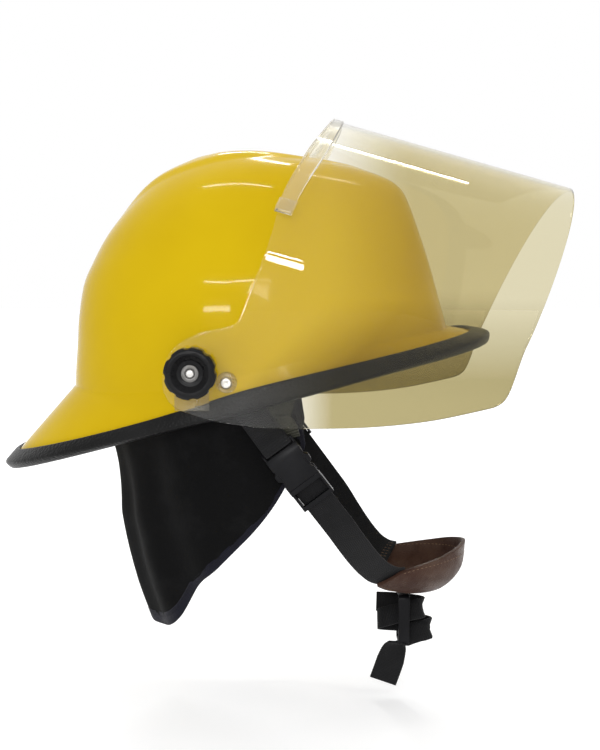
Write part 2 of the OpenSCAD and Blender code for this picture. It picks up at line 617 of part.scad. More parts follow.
// end pieces over the two ends of the strip
cover_t = 0.9;
low_e = [visor_start + edge_steps[0][0], visor_reach + edge_steps[0][1]];
step_z = edge_steps[1][1] - edge_steps[0][1];
lean_r = (edge_steps[1][0] - edge_steps[0][0]) / step_z;
lean_f = lean_r + strip_w * (edge_steps[1][2] - edge_steps[0][2]) / step_z;
cover_x = strip_t + cover_t + 0.3;
module strip_ferrules() color(clear) at_pivot() difference() {
    intersection() {
        bend_wall(strip_t + fit + cover_t, strip_t + fit + cover_t);
        slab([low_e + [-cover_x, -1.6], low_e + [8 * lean_r - cover_x, 8],
            low_e + [strip_w + cover_t + 8 * lean_f + 0.3, 8],
            low_e + [strip_w + cover_t + 0.3, -1.6]]);
    }
    intersection() {
        bend_wall(strip_t + 2 * fit, strip_t + 2 * fit);
        slab([low_e + [-strip_t - fit, -fit], low_e + [9 * lean_r - strip_t - fit, 9],
            low_e + [strip_w + 9 * lean_f + fit, 9], low_e + [strip_w + fit, -fit]]);
    }
    sheet_room();
    bend_wall(fit, fit);
}

// knob: lobed, dished, with a brass insert that runs on the bolt
module knob_body() {
    difference() {
        union() {
            across(0, 0, knob_y, knob_y + knob_t - 2, knob_d, knob_d, 72);
            across(0, 0, knob_y + knob_t - 2, knob_y + knob_t, knob_d, knob_d - 4, 72);
        }
        for (k = [0 : 7]) rotate([0, 45 * k + 22.5, 0]) translate([knob_d / 2 + 3, 0, 0])
            across(0, 0, knob_y - 1, knob_y + knob_t + 1, 8, 8, 28);
        across(0, 0, knob_y + knob_t - 4.5, knob_y + knob_t + 1, knob_d * 0.5, knob_d * 0.78, 48);
        across(0, 0, knob_y - 1, knob_y + knob_t + 1, bolt_d + 5 + 0.2);
    }
}
module right_knob() color(black) at_pivot() mirror([0, 1, 0]) knob_body();
module left_knob() color(black) at_pivot() knob_body();
module insert_body() difference() {
    across(0, 0, knob_y, knob_y + knob_t - 4, bolt_d + 5);
    across(0, 0, knob_y - 1, knob_y + knob_t, bolt_d + 0.2);
}
module right_knob_insert() color(steel) at_pivot() mirror([0, 1, 0]) insert_body();
module left_knob_insert() color(steel) at_pivot() insert_body();
module washer_at(y0, y1, d) difference() {
    across(0, 0, y0, y1, d);
    across(0, 0, y0 - 1, y1 + 1, bolt_d + 2 * run_gap);
}
module outer_friction_washers() color(black) at_pivot() both_sides()
    washer_at(visor_r + fit, visor_r + fit + washer_t, washer_d);
module inner_friction_washers() color(black) at_pivot() both_sides()
    washer_at(inner_washer_y, inner_washer_y + washer_t, washer_d);

// translucent spacer, cut to the slope of the shell
pivot_n = side_norm(pivot[0], pivot[2]);
pivot_out = side_out(pivot[0], pivot[2]);
foot_y = brim_half_width + trim_skin + trim_gap + 1.2;
module pivot_spacers() color(clear) as_worn() both_sides() difference() {
    union() {
        across(pivot[0], pivot[2], pivot_out - 8, inner_washer_y - fit, spacer_d, washer_d);
        translate(pivot) rotate([0, helmet_tilt, 0])
            translate([-foot_w / 2, foot_y, -foot_drop])
            cube([foot_w, inner_washer_y - fit - foot_y, foot_drop]);
    }
    across(pivot[0], pivot[2], pivot_out - 20, inner_washer_y + 1, bolt_d + 0.4);
    translate([pivot[0], pivot_out, pivot[2]])
        rotate([0, 0, -atan2(pivot_n[0], pivot_n[1])])
        rotate([atan2(pivot_n[2], norm([pivot_n[0], pivot_n[1]])), 0, 0])
        translate([-40, -40 + 0.65, -40]) cube([80, 40, 80]);
}
// bolt with a round head inside and a domed end seen in the knob
module pivot_bolts() color(steel) as_worn() both_sides() {
    across(pivot[0], pivot[2], bracket_y - bracket_t - 2.6 - fit, bracket_y - bracket_t - fit,
        bolt_d * 1.5, bolt_d * 2);
    across(pivot[0], pivot[2], bracket_y - bracket_t - fit - 0.01, knob_y + knob_t - 4.2, bolt_d);
    across(pivot[0], pivot[2], knob_y + knob_t - 4.2, knob_y + knob_t - 3.4, bolt_d,
        bolt_d * 0.7);
}
module side_brackets() color(steel) as_worn() both_sides() difference() {
    translate([0, bracket_y, 0]) rotate([90, 0, 0]) linear_extrude(bracket_t) {
        hull() {
            translate([pivot[0], pivot[2]]) circle(r = bracket_r);
            translate([pin[0], pin[2]]) circle(r = bracket_r - 2);
        }
        hull() {
            translate([pivot[0], pivot[2]]) circle(r = bracket_r);
            translate([anchor[0], anchor[2]]) circle(r = bracket_r - 2);
        }
    }
    across(pivot[0], pivot[2], 60, 130, bolt_d + 0.4);
    across(anchor[0], anchor[2], 60, 130, anchor_d + 0.4);
    across(pin[0], pin[2], 60, 130, anchor_d + 0.4);
}
// nylon sleeves that fill the gap between bracket and shell
function rim_in(p, r) =
    min([for (a = [0 : 30 : 330]) side_in(p[0] + r * cos(a), p[2] + r * sin(a))]);
module bushing(p, d, bore) difference() {
    across(p[0], p[2], bracket_y + fit, rim_in(p, d / 2) - fit, d);
    across(p[0], p[2], bracket_y - 1, bracket_y + 20, bore);
}
module bracket_bushings() color(grey) as_worn() both_sides() {
    bushing(anchor, 9, anchor_d + 0.4);
    bushing(pin, 9, anchor_d + 0.4);
}
anchor_wr = anchor_washer_d / 2;
anchor_out = max([for (a = [0 : 30 : 330])
    side_out(anchor[0] + anchor_wr * cos(a), anchor[2] + anchor_wr * sin(a))]);
washer_out = anchor_out + fit + 3.4;
module anchor_washers() color(clear) as_worn() both_sides() difference() {
    across(anchor[0], anchor[2], anchor_out + fit, washer_out, anchor_washer_d,
        anchor_washer_d - 1);
    across(anchor[0], anchor[2], anchor_out - 1, washer_out + 1, anchor_d + 0.4);
}
hanger_t = 1.6;
hanger_y = bracket_y - bracket_t - fit;
module anchor_screws() color(steel) as_worn() both_sides() difference() {
    union() {
        across(anchor[0], anchor[2], hanger_y - hanger_t - 4, washer_out + 0.2, anchor_d);
        across(anchor[0], anchor[2], washer_out + fit, washer_out + fit + 2.1, 8, 6);
    }
    across(anchor[0], anchor[2], washer_out + 1.1, washer_out + 4, 2.6, 2.6, 6);
}
module anchor_nuts() color(steel) as_worn() both_sides() difference() {
    across(anchor[0], anchor[2], hanger_y - hanger_t - fit - 3, hanger_y - hanger_t - fit, 8, 8, 6);
    across(anchor[0], anchor[2], hanger_y - 9, hanger_y, anchor_d + 0.2);
}
module hanger_pins() color(steel) as_worn() both_sides() {
    across(pin[0], pin[2], hanger_y - hanger_t - 1.6, hanger_y - hanger_t - fit, 6, 8);
    across(pin[0], pin[2], hanger_y - hanger_t - fit - 0.01, side_in(pin[0], pin[2]) - 0.6, anchor_d);
}

// chin strap, drawn on the wearer's right in the frame as worn
buckle_a = [29.6, -88, -156.7];
buckle_b = [58.6, -81.5, -195.3];
buckle_d = unit(buckle_b - buckle_a);
buckle_n = unit([0, -1, 0] - ([0, -1, 0] * buckle_d) * buckle_d);
buckle_s = cross(buckle_n, buckle_d);
function on_buckle(s, x, y) = buckle_a + buckle_d * s + buckle_s * x + buckle_n * y;
module in_frame(o, x, y, z) multmatrix([[x[0], y[0], z[0], o[0]], [x[1], y[1], z[1], o[1]],
    [x[2], y[2], z[2], o[2]], [0, 0, 0, 1]]) children();
module at_buckle() in_frame(buckle_a, buckle_s, buckle_n, buckle_d) children();
module block(x0, x1, y0, y1, z0, z1) translate([x0, y0, z0]) cube([x1 - x0, y1 - y0, z1 - z0]);

// hanger plates: a tab on the screw and a slot for the webbing
slot_h = web_t + 1.2;
bar_h = 1.8;
tab_len = 16.5;
bar_gap = 0.3;
anchor_w = worn([anchor[0], 0, anchor[2]]);
pin_w = worn([pin[0], 0, pin[2]]);
hang_mid = hanger_y - hanger_t / 2;
rear_hang = [anchor_w[0], -hang_mid, anchor_w[2]];
front_hang = [pin_w[0], -hang_mid, pin_w[2]];
// strap ends on the buckle and where the front webbing is sewn on
sewn_front = buckle_a - buckle_d * 13 + buckle_s * 9.5;
rear_dir = unit([buckle_a[0] - rear_hang[0], 0, buckle_a[2] - rear_hang[2]]);
front_dir = unit([sewn_front[0] - front_hang[0], 0, sewn_front[2] - front_hang[2]]);
module hanger_plate(o, d) in_frame(o, [-d[2], 0, d[0]], [0, 1, 0], [-d[0], 0, -d[2]])
    rotate([90, 0, 0]) translate([0, 0, -hanger_t / 2]) linear_extrude(hanger_t) difference() {
        hull() {
            circle(d = 11);
            translate([-web_w / 2 - 2.5, -tab_len]) square([web_w + 5, 6]);
        }
        circle(d = anchor_d + 0.4);
        translate([-web_w / 2 - 0.6, bar_h - tab_len]) square([web_w + 1.2, slot_h]);
    }
module strap_hangers() color(steel) both_sides() {
    hanger_plate(rear_hang, rear_dir);
    hanger_plate(front_hang, front_dir);
}
// fold of webbing round a bar: out is the outward normal, d points away from the bar
lay_off = web_t / 2 + 0.15;
function fold_at(o, d, out, tail, bar, half) =
    let (b = bar + bar_gap + web_t / 2, off = half + 0.25 + web_t / 2)
    [o + d * (b + tail) - out * lay_off, o + d * (b + 8) - out * lay_off,
        o + d * (b + 4) - out * off, o + d * 0.75 - out * off,
        o + d * 0.15 - out * (off * 0.7), o, o + d * 0.15 + out * (off * 0.7),
        o + d * 0.75 + out * off, o + d * (b + 4) + out * off,
        o + d * (b + 8) + out * lay_off];
slot_at = tab_len - bar_h - bar_gap - web_t / 2;
socket_slot = bar_h + bar_gap + web_t / 2;
bar_half = 1.6;
out_y = [0, -1, 0];
rear_top = rear_hang + rear_dir * slot_at;
rear_line = unit(buckle_a - rear_top);
rear_side = unit(cross(rear_line, out_y));
rear_path = concat(
    fold_at(rear_top, rear_dir, out_y, 10, bar_h, hanger_t / 2),
    reversed(fold_at(buckle_a + buckle_d * socket_slot, -buckle_d, buckle_n, 10, bar_h, bar_half)));
module rear_webbing() strap(rear_path, [for (p = rear_path) rear_side], web_w, web_t);
front_fold = fold_at(front_hang + front_dir * slot_at, front_dir, out_y, 12, bar_h, hanger_t / 2);
under = lay_off + web_t + 1.5;
under_bar = bar_half + web_t + 0.25 + web_t / 2 + 0.3;
front_mid = sewn_front - buckle_n * under;
front_low = buckle_a - buckle_d * 5 + buckle_s * 9.3 - buckle_n * under_bar;
front_end = buckle_a + buckle_d * 1.5 + buckle_s * 7 - buckle_n * (under_bar + 0.2);
front_path = concat(front_fold, [lerp(front_fold[9], front_mid, 0.5) - out_y * 1.1, front_mid,
    front_low, front_end]);
front_side = unit(cross(front_dir, out_y));
module front_webbing() strap(front_path, [for (p = front_path) front_side], web_w, web_t);
module right_rear_webbing() color(black) rear_webbing();
module right_front_webbing() color(foam) front_webbing();
module left_rear_webbing() color(black) mirror([0, 1, 0]) rear_webbing();
module left_front_webbing() color(foam) mirror([0, 1, 0]) front_webbing();

// side-release buckle, z along the strap away from the helmet, y outward
half_b = buckle_w / 2;
half_t = buckle_t / 2;
room = half_t - buckle_wall;
shut_at = bar_h + slot_h + 1.6;
module buckle_socket() color(black) at_buckle() {
    difference() {
        union() {
            block(-half_b, half_b, -bar_half, bar_half, 0, shut_at);
            hull() {
                block(-half_b, half_b, -2.4, 2.4, shut_at - 1.4, shut_at);
                block(-half_b, half_b, -half_t, half_t, shut_at + 3, shut_at + 4);
            }
            block(-half_b, half_b, -half_t, half_t, shut_at + 3.5, buckle_len);
        }
        block(-web_w / 2 - 0.5, web_w / 2 + 0.5, -9, 9, bar_h, bar_h + slot_h);
        block(-half_b + buckle_wall, half_b - buckle_wall, -room, room, shut_at + 3, buckle_len + 1);
        block(-half_b - 1, half_b + 1, -room, room, shut_at + 5.5, buckle_len + 1);
        // thumb scallops
        for (x = [-1, 1]) translate([x * (half_b + 9), 10, shut_at + 13]) rotate([90, 0, 0])
            cylinder(r = 11, h = 20, $fn = 48);
    }
}
web_in = 3.8;
bar_in = web_in - web_t / 2 - run_gap;
bar_back = web_in + web_t / 2 + run_gap;
plug_z = buckle_len + run_gap;
plug_end = 48;
module buckle_plug() color(black) at_buckle() {
    block(-3, 3, -room + run_gap, room - run_gap, shut_at + 6, plug_z + 1);
    difference() {
        block(-half_b, half_b, -bar_in, half_t, plug_z, plug_z + 3.4);
        translate([0, half_t + 1, plug_z + 4.4]) rotate([45, 0, 0])
            cube([40, 3, 3], center = true);
    }
    for (x = [-1, 1]) translate([x * (half_b - 0.8), 0, 0])
        block(-0.8, 0.8, -bar_back - 1.4, 1, plug_z + 2, plug_end);
    block(-half_b, half_b, -bar_in, 1, plug_end - 3, plug_end);
    block(-half_b, half_b, -bar_back - 1.4, -bar_back, plug_z + 6, plug_z + 9);
}
prong_root = [half_b - 3, plug_z - 0.3];
module prong_shape() linear_extrude(2 * (room - run_gap), center = true)
    polygon([[prong_root[0] - 1.2, prong_root[1]], [prong_root[0] + 1.2, prong_root[1]],
        [half_b - 1.4, prong_root[1] - 5], [half_b - 0.6, prong_root[1] - 8],
        [half_b + 1.4, prong_root[1] - 9], [half_b + 1.6, prong_root[1] - 13],
        [half_b - 1, prong_root[1] - 16], [half_b - 4, prong_root[1] - 16.4],
        [half_b - 5, prong_root[1] - 13.5], [half_b - 4, prong_root[1] - 6]]);
module prong_front() color(black) at_buckle() rotate([90, 0, 0]) prong_shape();
module prong_rear() color(black) at_buckle() mirror([1, 0, 0]) rotate([90, 0, 0]) prong_shape();

// chin cup: sections from the middle out to where the strap joins
cup_rows = [[[112, 0, -270.5], [128, 0, -273], [146, 0, -269.5], [159, 0, -256], [162, 0, -236.5]],
    [[110.5, -16, -268.5], [125, -17, -270], [141, -18, -266], [152.5, -18.5, -254.5],
        [155.5, -18.5, -239]],
    [[105.5, -30, -264.5], [116, -32.5, -263.5], [127, -34, -259.5], [135.5, -34.5, -252.5],
        [140, -33.5, -244]],
    [[98.5, -42, -259.5], [102.5, -43.5, -257.5], [106.5, -44.5, -255.2], [110.5, -45, -252.7],
        [114.6, -45, -250]]];
function cup_at(s, b) =
    let (a = abs(s) * 3, k = b * 4,
        r0 = [for (r = cup_rows) along(r, k)],
        mir = [r0[1][0], -r0[1][1], r0[1][2]],
        i = min(floor(a), 2), f = a - i,
        p = smooth4(i == 0 ? mir : r0[i - 1], r0[i], r0[i + 1], i == 2 ? 2 * r0[3] - r0[2] : r0[i + 2], f))
    [p[0], (s < 0 ? 1 : -1) * p[1] * cup_half_w / 45, p[2]];
function cup_n(s, b) =
    let (s0 = max(s - 0.04, -1), s1 = min(s + 0.04, 1), b0 = max(b - 0.05, 0), b1 = min(b + 0.05, 1))
    unit(cross(cup_at(s, b1) - cup_at(s, b0), cup_at(s1, b) - cup_at(s0, b)));
cup_n_s = 20;
cup_n_b = 8;
function cup_sec(s) = concat([for (k = [0 : cup_n_b]) cup_at(s, k / cup_n_b)],
    [for (k = [cup_n_b : -1 : 0]) cup_at(s, k / cup_n_b) - cup_n(s, k / cup_n_b) * cup_t]);
// sheet of two faces joined round its rim, from sections of twice the same count
module sheet_body(secs, flip = false) {
    n = len(secs[0]);
    h = n / 2;
    m = len(secs);
    pts = [for (r = secs) each r];
    walls = [for (i = [0 : m - 2]) each strip_faces(i * n, (i + 1) * n, n, flip)];
    e = (m - 1) * n;
    ends = concat(
        [for (j = [0 : h - 2]) each (flip ? [[j, j + 1, n - 1 - j], [j + 1, n - 2 - j, n - 1 - j]]
            : [[j, n - 1 - j, j + 1], [j + 1, n - 1 - j, n - 2 - j]])],
        [for (j = [0 : h - 2]) each (flip ? [[e + j, e + n - 1 - j, e + j + 1],
            [e + j + 1, e + n - 1 - j, e + n - 2 - j]]
            : [[e + j, e + j + 1, e + n - 1 - j], [e + j + 1, e + n - 2 - j, e + n - 1 - j]])]);
    polyhedron(pts, concat(walls, ends), convexity = 8);
}
module chin_cup() color(brown)
    sheet_body([for (i = [0 : cup_n_s]) cup_sec(-1 + 2 * i / cup_n_s)], true);

// lower webbing, straight where the plug runs, then round to the cup
cup_lap = cup_at(-0.97, 0.5) + cup_n(-0.97, 0.5) * (web_t / 2 + 1.65);
cup_lap_in = cup_at(-0.87, 0.5) + cup_n(-0.87, 0.5) * (web_t / 2 + 3.2);
straight_end = plug_end + plug_travel + 3;
lower_side_end = unit(cup_at(-0.97, 1) - cup_at(-0.97, 0));
function lower_path(s0) =
    let (a = on_buckle(straight_end, 0, -web_in), b = cup_lap)
    concat([on_buckle(s0, 0, -web_in), on_buckle(lerp(s0, straight_end, 0.5), 0, -web_in), a],
        [for (k = [1 : 5]) let (t = k / 6, d0 = buckle_d * 36, d1 = (cup_lap_in - cup_lap) * 6)
            a * (1 - 3 * t * t + 2 * t * t * t) + b * (3 * t * t - 2 * t * t * t)
            + d0 * (t * (1 - t) * (1 - t)) + d1 * (-t * t * (1 - t))],
        [b, cup_lap_in]);
function lower_sides(n) = [for (i = [0 : n - 1])
    let (t = min(max((i - 2) / 6, 0), 1)) unit(lerp(buckle_s, lower_side_end, t))];
module lower_webbing(s0) strap(lower_path(s0), lower_sides(len(lower_path(s0))), web_w, web_t);
module right_lower_webbing() color(black) lower_webbing(plug_z + 4.2);
module left_lower_webbing() color(black) mirror([0, 1, 0]) lower_webbing(8.6);
// slider that joins the left webbings
module strap_slider() color(black) mirror([0, 1, 0]) at_buckle() {
    difference() {
        block(-half_b, half_b, -bar_half, bar_half, 0, shut_at);
        block(-web_w / 2 - 0.5, web_w / 2 + 0.5, -9, 9, bar_h, bar_h + slot_h);
    }
    for (x = [-1, 1]) translate([x * (half_b - 0.8), 0, 0])
        block(-0.8, 0.8, -bar_back - 1.4, bar_half, shut_at - 0.5, 26);
    block(-half_b, half_b, -bar_in, bar_half, shut_at, shut_at + 2.4);
    block(-half_b, half_b, -bar_in, bar_half, 23.5, 26);
    block(-half_b, half_b, -bar_back - 1.4, -bar_back, 15, 18);
}

// loose end of the webbing, folded twice and left hanging
tail_path = [[101, 7, -282], [110, 6, -282], [120, 5.2, -282.6], [128, 4.4, -283.4],
    [132.2, 2.6, -284], [133.4, 0, -284.4], [132, -2.6, -285], [126, -4.2, -286], [116, -4.4, -288],
    [107, -3.8, -290.6], [102.6, -1.6, -292.4], [102.2, 1.4, -294], [106, 4, -295.2],
    [114, 5, -296], [124, 5, -297], [133, 4.2, -298.2], [137.8, 2.6, -299], [139, 0, -299.6],
    [137.6, -2.6, -300.4], [131, -4, -301.8], [123, -4.2, -304], [117, -3.8, -308.6],
    [113.4, -3.2, -315.4], [111, -2.6, -323], [108.4, -2, -331], [105.6, -1.6, -339]];
function tail_side(i) = i < 9 ? unit([0, 0.55, 0.84]) : i < 20 ? unit([0, 0.45, 0.9]) :
    unit(lerp([0, 0.45, 0.9], [1, 0, 0], min((i - 19) / 4, 1)));
function tail_w(i) = lerp(web_w * 0.72, web_w, min(max((i - 19) / 4, 0), 1));
function tail_secs(w) =
    strap_secs(tail_path, [for (i = [0 : len(tail_path) - 1]) tail_side(i)], w, web_t);
tail_drop = 2.3;
module strap_tail() color(black) translate([0, 0, -tail_drop])
    swept([for (i = [0 : len(tail_path) - 1]) tail_secs(tail_w(i))[i]]);
module tail_keeper() color(black) translate([116, 0, -291.5 - tail_drop]) rotate([0, 90, 0])
    linear_extrude(8) difference() {
        offset(r = 3) square([30, 17.4], center = true);
        offset(r = 1.7) square([30, 17.4], center = true);
    }

// neck curtain: hung inside the back of the shell, with soft folds and a raised front corner
hem_pts = [[50.7, -73.5, -160.8], [35.5, -72, -189.6], [13.4, -74.5, -219.3], [-8.2, -75, -240.8],
    [-24, -71, -255], [-37, -61, -279], [-49, -46, -289], [-58, -24, -291], [-62.4, 0, -287]];
hang_t = 1.4;
hang_side_t = 1.02;
hook_t0 = 1.05;
hook_t1 = 1.5;
hang_q0 = 82;
hook_gap = 0.4;
hook_t = 1.6;
hang_off = shell_wall + hook_gap + hook_t + 0.3;
// the front of each side hangs inside the strap hangers
hang_shift = 12.5;
hook_to = 0.6;
side_drop = 7;
function hang_k(a) = let (k = min(max((abs(a) - hook_to - 0.02) / 0.18, 0), 1)) k * k * (3 - 2 * k);
function hang_d(a) = hang_off + hang_shift * hang_k(a);
function hang_q(a) = lerp(180, hang_q0, pow(abs(a), 1.0));
function hang_pt(a, d) =
    let (k = hang_k(a), t = lerp(hang_t, hang_side_t, k),
        p = skin_in(t, a < 0 ? -hang_q(a) : hang_q(a), d))
    worn(p - [0, 0, side_drop * k]);
function hem_pt(a) = let (p = along(hem_pts, (1 - abs(a)) * 8))
    [p[0], a < 0 ? p[1] : -p[1], p[2]];
// how far the back hangs ahead of the straight line from shell to hem
function hang_in(a, h) = (1 - pow(abs(a), 1.5)) * (h < 0.55 ? 8.5 * sin(180 * h / 0.55) :
    -2.5 * sin(180 * (h - 0.55) / 0.45));
function cloth_at(a, h) =
    let (p = hang_pt(a, hang_d(a)), q = hem_pt(a), k = h * h * (1.6 - 0.6 * h),
        base = [lerp(p[0], q[0], h), lerp(p[1], q[1], lerp(h, k, 0.5)), lerp(p[2], q[2], h)],
        side = unit([-(base[0] + 5) * 0.6, -base[1], 0]),
        inward = unit([-base[0], -base[1] * 0.6, 0]),
        fold = curtain_fold * cos(abs(a) * 1500 + 40) * min(h * 1.6, 1) * (1 - pow(abs(a), 8)))
    base + side * (fold + curtain_fold * min(h * 1.6, 1)) + inward * hang_in(a, h);
function cloth_n(a, h) =
    let (a0 = max(a - 0.02, -1), a1 = min(a + 0.02, 1), h0 = max(h - 0.04, 0), h1 = min(h + 0.04, 1))
    unit(cross(cloth_at(a1, h) - cloth_at(a0, h), cloth_at(a, h1) - cloth_at(a, h0)));
cloth_cols = 52;
cloth_rows = 8;
hem_at = 1 - binding_w / 130;
edge_at = 1 - binding_w / 260;
module cloth_piece(a0, a1, h0, h1, na, nh, grow)
    sheet_body([for (i = [0 : na]) let (a = lerp(a0, a1, i / na))
        concat([for (k = [0 : nh]) let (h = lerp(h0, h1, k / nh)) cloth_at(a, h) + cloth_n(a, h) * grow],
            [for (k = [nh : -1 : 0]) let (h = lerp(h0, h1, k / nh))
                cloth_at(a, h) - cloth_n(a, h) * (curtain_t + grow)])]);
module neck_curtain() color(black)
    cloth_piece(-edge_at + 0.001, edge_at - 0.001, 0, hem_at - 0.001, cloth_cols, cloth_rows, 0);
module curtain_binding() color(navy) {
    cloth_piece(-edge_at, edge_at, hem_at, 1, cloth_cols, 1, 0.4);
    cloth_piece(edge_at + 0.0015, 1, 0, 1, 1, 8, 0.4);
    cloth_piece(-1, -edge_at - 0.0015, 0, 1, 1, 8, 0.4);
}
// hook strip bonded inside the shell, holding the curtain
module curtain_hook_strip() color(black) as_worn()
    swept([for (i = [0 : 40]) let (q = hang_q(lerp(hook_to, -hook_to, i / 40) * 0.999),
            s = i < 20 ? q : 360 - q, near = shell_wall + hook_gap, far = near + hook_t)
        [skin_in(hook_t0, s, near), skin_in(hook_t1, s, near), skin_in(hook_t1, s, far),
            skin_in(hook_t0, s, far)]]);

shell();
edge_trim();
impact_liner();
suspension_ring();
cradle_webbing();
crown_pad();
front_hanger();
rear_hangers();
brow_rivet();
headband_left();
headband_right();
sweatband_left();
sweatband_right();
ratchet_housing();
ratchet_cover();
ratchet_pinion();
ratchet_knob();
nape_pad();
visor();
visor_edge_strip();
strip_ferrules();
right_knob();
left_knob();
right_knob_insert();
left_knob_insert();
outer_friction_washers();
inner_friction_washers();
pivot_spacers();
pivot_bolts();
side_brackets();
bracket_bushings();
anchor_screws();
anchor_washers();
anchor_nuts();
hanger_pins();
strap_hangers();
right_front_webbing();
right_rear_webbing();
left_front_webbing();
left_rear_webbing();
buckle_socket();
buckle_plug();
prong_front();
prong_rear();
right_lower_webbing();
left_lower_webbing();
strap_slider();
chin_cup();
strap_tail();
tail_keeper();
neck_curtain();
curtain_binding();
curtain_hook_strip();
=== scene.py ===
import math

import bmesh
import bpy
from mathutils import Matrix, Vector, noise


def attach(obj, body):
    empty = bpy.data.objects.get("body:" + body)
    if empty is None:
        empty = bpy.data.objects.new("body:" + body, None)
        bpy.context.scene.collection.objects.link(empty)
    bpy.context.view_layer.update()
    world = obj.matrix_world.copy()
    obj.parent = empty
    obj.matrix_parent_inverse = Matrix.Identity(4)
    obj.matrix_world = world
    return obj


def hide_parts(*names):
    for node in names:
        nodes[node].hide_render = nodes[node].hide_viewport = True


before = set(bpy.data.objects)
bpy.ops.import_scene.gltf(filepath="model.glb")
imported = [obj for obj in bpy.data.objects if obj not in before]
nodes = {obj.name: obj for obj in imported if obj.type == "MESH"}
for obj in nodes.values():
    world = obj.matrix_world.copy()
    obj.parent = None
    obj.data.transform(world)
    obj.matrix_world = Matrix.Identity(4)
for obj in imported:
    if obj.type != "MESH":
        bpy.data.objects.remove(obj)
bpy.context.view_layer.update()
mm = 0.001
scene = bpy.context.scene

# camera, placed as the helmet is seen in the picture
view = {"from": (0.0454, -0.9962, -0.0309), "towards": (0.0454, 0.0, -0.1181), "lens": 67.2}
camera = bpy.data.objects.new("camera", bpy.data.cameras.new("camera"))
scene.collection.objects.link(camera)
camera.location = view["from"]
aim = Vector(view["towards"]) - Vector(view["from"])
camera.rotation_euler = aim.to_track_quat("-Z", "Y").to_euler()
camera.data.lens = view["lens"]
camera.data.sensor_width = 36.0
camera.data.clip_start = 0.01
scene.camera = camera
scene.view_settings.view_transform = "Standard"
print("camera placed")


# small helpers for meshes
def finishMesh(name, bm, sharp=38.0):
    limit = math.radians(sharp)
    for face in bm.faces:
        face.smooth = True
    for edge in bm.edges:
        if len(edge.link_faces) == 2:
            edge.smooth = edge.calc_face_angle(0.0) < limit
    mesh = bpy.data.meshes.new(name)
    bm.to_mesh(mesh)
    bm.free()
    obj = bpy.data.objects.new(name, mesh)
    scene.collection.objects.link(obj)
    return obj


def dress(obj, material, slot, *replaced, body="helmet"):
    obj.data.materials.clear()
    obj.data.materials.append(material)
    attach(obj, body)
    if replaced:
        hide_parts(*replaced)
    return obj


def roundedCopy(node, radius, angle=28.0, segments=2):
    # a merged copy of a node with its hard edges broken
    bm = bmesh.new()
    bm.from_mesh(nodes[node].data)
    bmesh.ops.remove_doubles(bm, verts=bm.verts, dist=2e-6)
    bmesh.ops.dissolve_limit(bm, angle_limit=math.radians(0.6), verts=bm.verts, edges=bm.edges)
    limit = math.radians(angle)
    hard = [e for e in bm.edges if len(e.link_faces) == 2 and e.calc_face_angle(0.0) > limit]
    bmesh.ops.bevel(bm, geom=hard, offset=radius * mm, offset_type="OFFSET", segments=segments,
                    profile=0.5, affect="EDGES", clamp_overlap=True, material=-1)
    return finishMesh(node + "Fine", bm)


def ringSkin(bm, rings, columns, closed=False):
    # rings of points, each bridged to the next
    loops = []
    for place in rings:
        made = bmesh.ops.create_circle(bm, segments=columns, radius=1.0)["verts"]
        edges = list({e for v in made for e in v.link_edges})
        for i, v in enumerate(made):
            v.co = Vector(place(360.0 * i / columns)) * mm
        loops.append((made, edges))
    for first, second in zip(loops, loops[1:] + (loops[:1] if closed else [])):
        bmesh.ops.bridge_loops(bm, edges=first[1] + second[1])
    return loops


def gridSkin(name, place, across, along, size, sharp=60.0):
    # a sheet from a grid whose points are moved into place, with its own map in metres
    bm = bmesh.new()
    made = bmesh.ops.create_grid(bm, x_segments=across, y_segments=along, size=1.0)["verts"]
    layer = bm.loops.layers.uv.new("weave")
    spot = {v: ((v.co.x + 1) / 2, (v.co.y + 1) / 2) for v in made}
    for v in made:
        v.co = Vector(place(*spot[v])) * mm
    for face in bm.faces:
        for loop in face.loops:
            s, t = spot[loop.vert]
            loop[layer].uv = (s * size[0] * mm, t * size[1] * mm)
    return finishMesh(name, bm, sharp)


def thicken(obj, amount, offset=-1.0, bevel=0.0, segments=2, even=True):
    wall = obj.modifiers.new("wall", "SOLIDIFY")
    wall.thickness = amount * mm
    wall.offset = offset
    wall.use_even_offset = even
    if bevel:
        edge = obj.modifiers.new("edge", "BEVEL")
        edge.width = bevel * mm
        edge.segments = segments
        edge.limit_method = "ANGLE"
        edge.angle_limit = math.radians(50)
    return obj


# small helpers for materials
def feed(tree, socket, value):
    if isinstance(value, bpy.types.NodeSocket):
        tree.links.new(value, socket)
    else:
        socket.default_value = value


def drive(tree, node, **inputs):
    # set a node's inputs by name, or link another node's output to them
    for key, value in inputs.items():
        feed(tree, node.inputs[key.replace("_", " ")], value)


def startMaterial(name, colour, roughness, **values):
    material = bpy.data.materials.new(name)
    material.use_nodes = True
    tree = material.node_tree
    shader = tree.nodes["Principled BSDF"]
    drive(tree, shader, Base_Color=(*colour, 1.0), Roughness=roughness, **values)
    return material, tree, shader


def addNode(tree, kind, settings=(), **inputs):
    node = tree.nodes.new(kind)
    for key, value in dict(settings).items():
        setattr(node, key, value)
    drive(tree, node, **inputs)
    return node


def calc(tree, kind, *values):
    node = addNode(tree, "ShaderNodeMath", {"operation": kind})
    for socket, value in zip(node.inputs, values):
        feed(tree, socket, value)
    return node.outputs[0]


def blendColour(tree, factor, first, second):
    node = addNode(tree, "ShaderNodeMix", {"data_type": "RGBA"})
    for i, value in ((0, factor), (6, first), (7, second)):
        feed(tree, node.inputs[i], (*value, 1.0) if isinstance(value, tuple) else value)
    return node.outputs[2]


def ramp(tree, source, low, high):
    return addNode(tree, "ShaderNodeMapRange", {"clamp": True}, Value=source, From_Min=low,
                   From_Max=high).outputs["Result"]


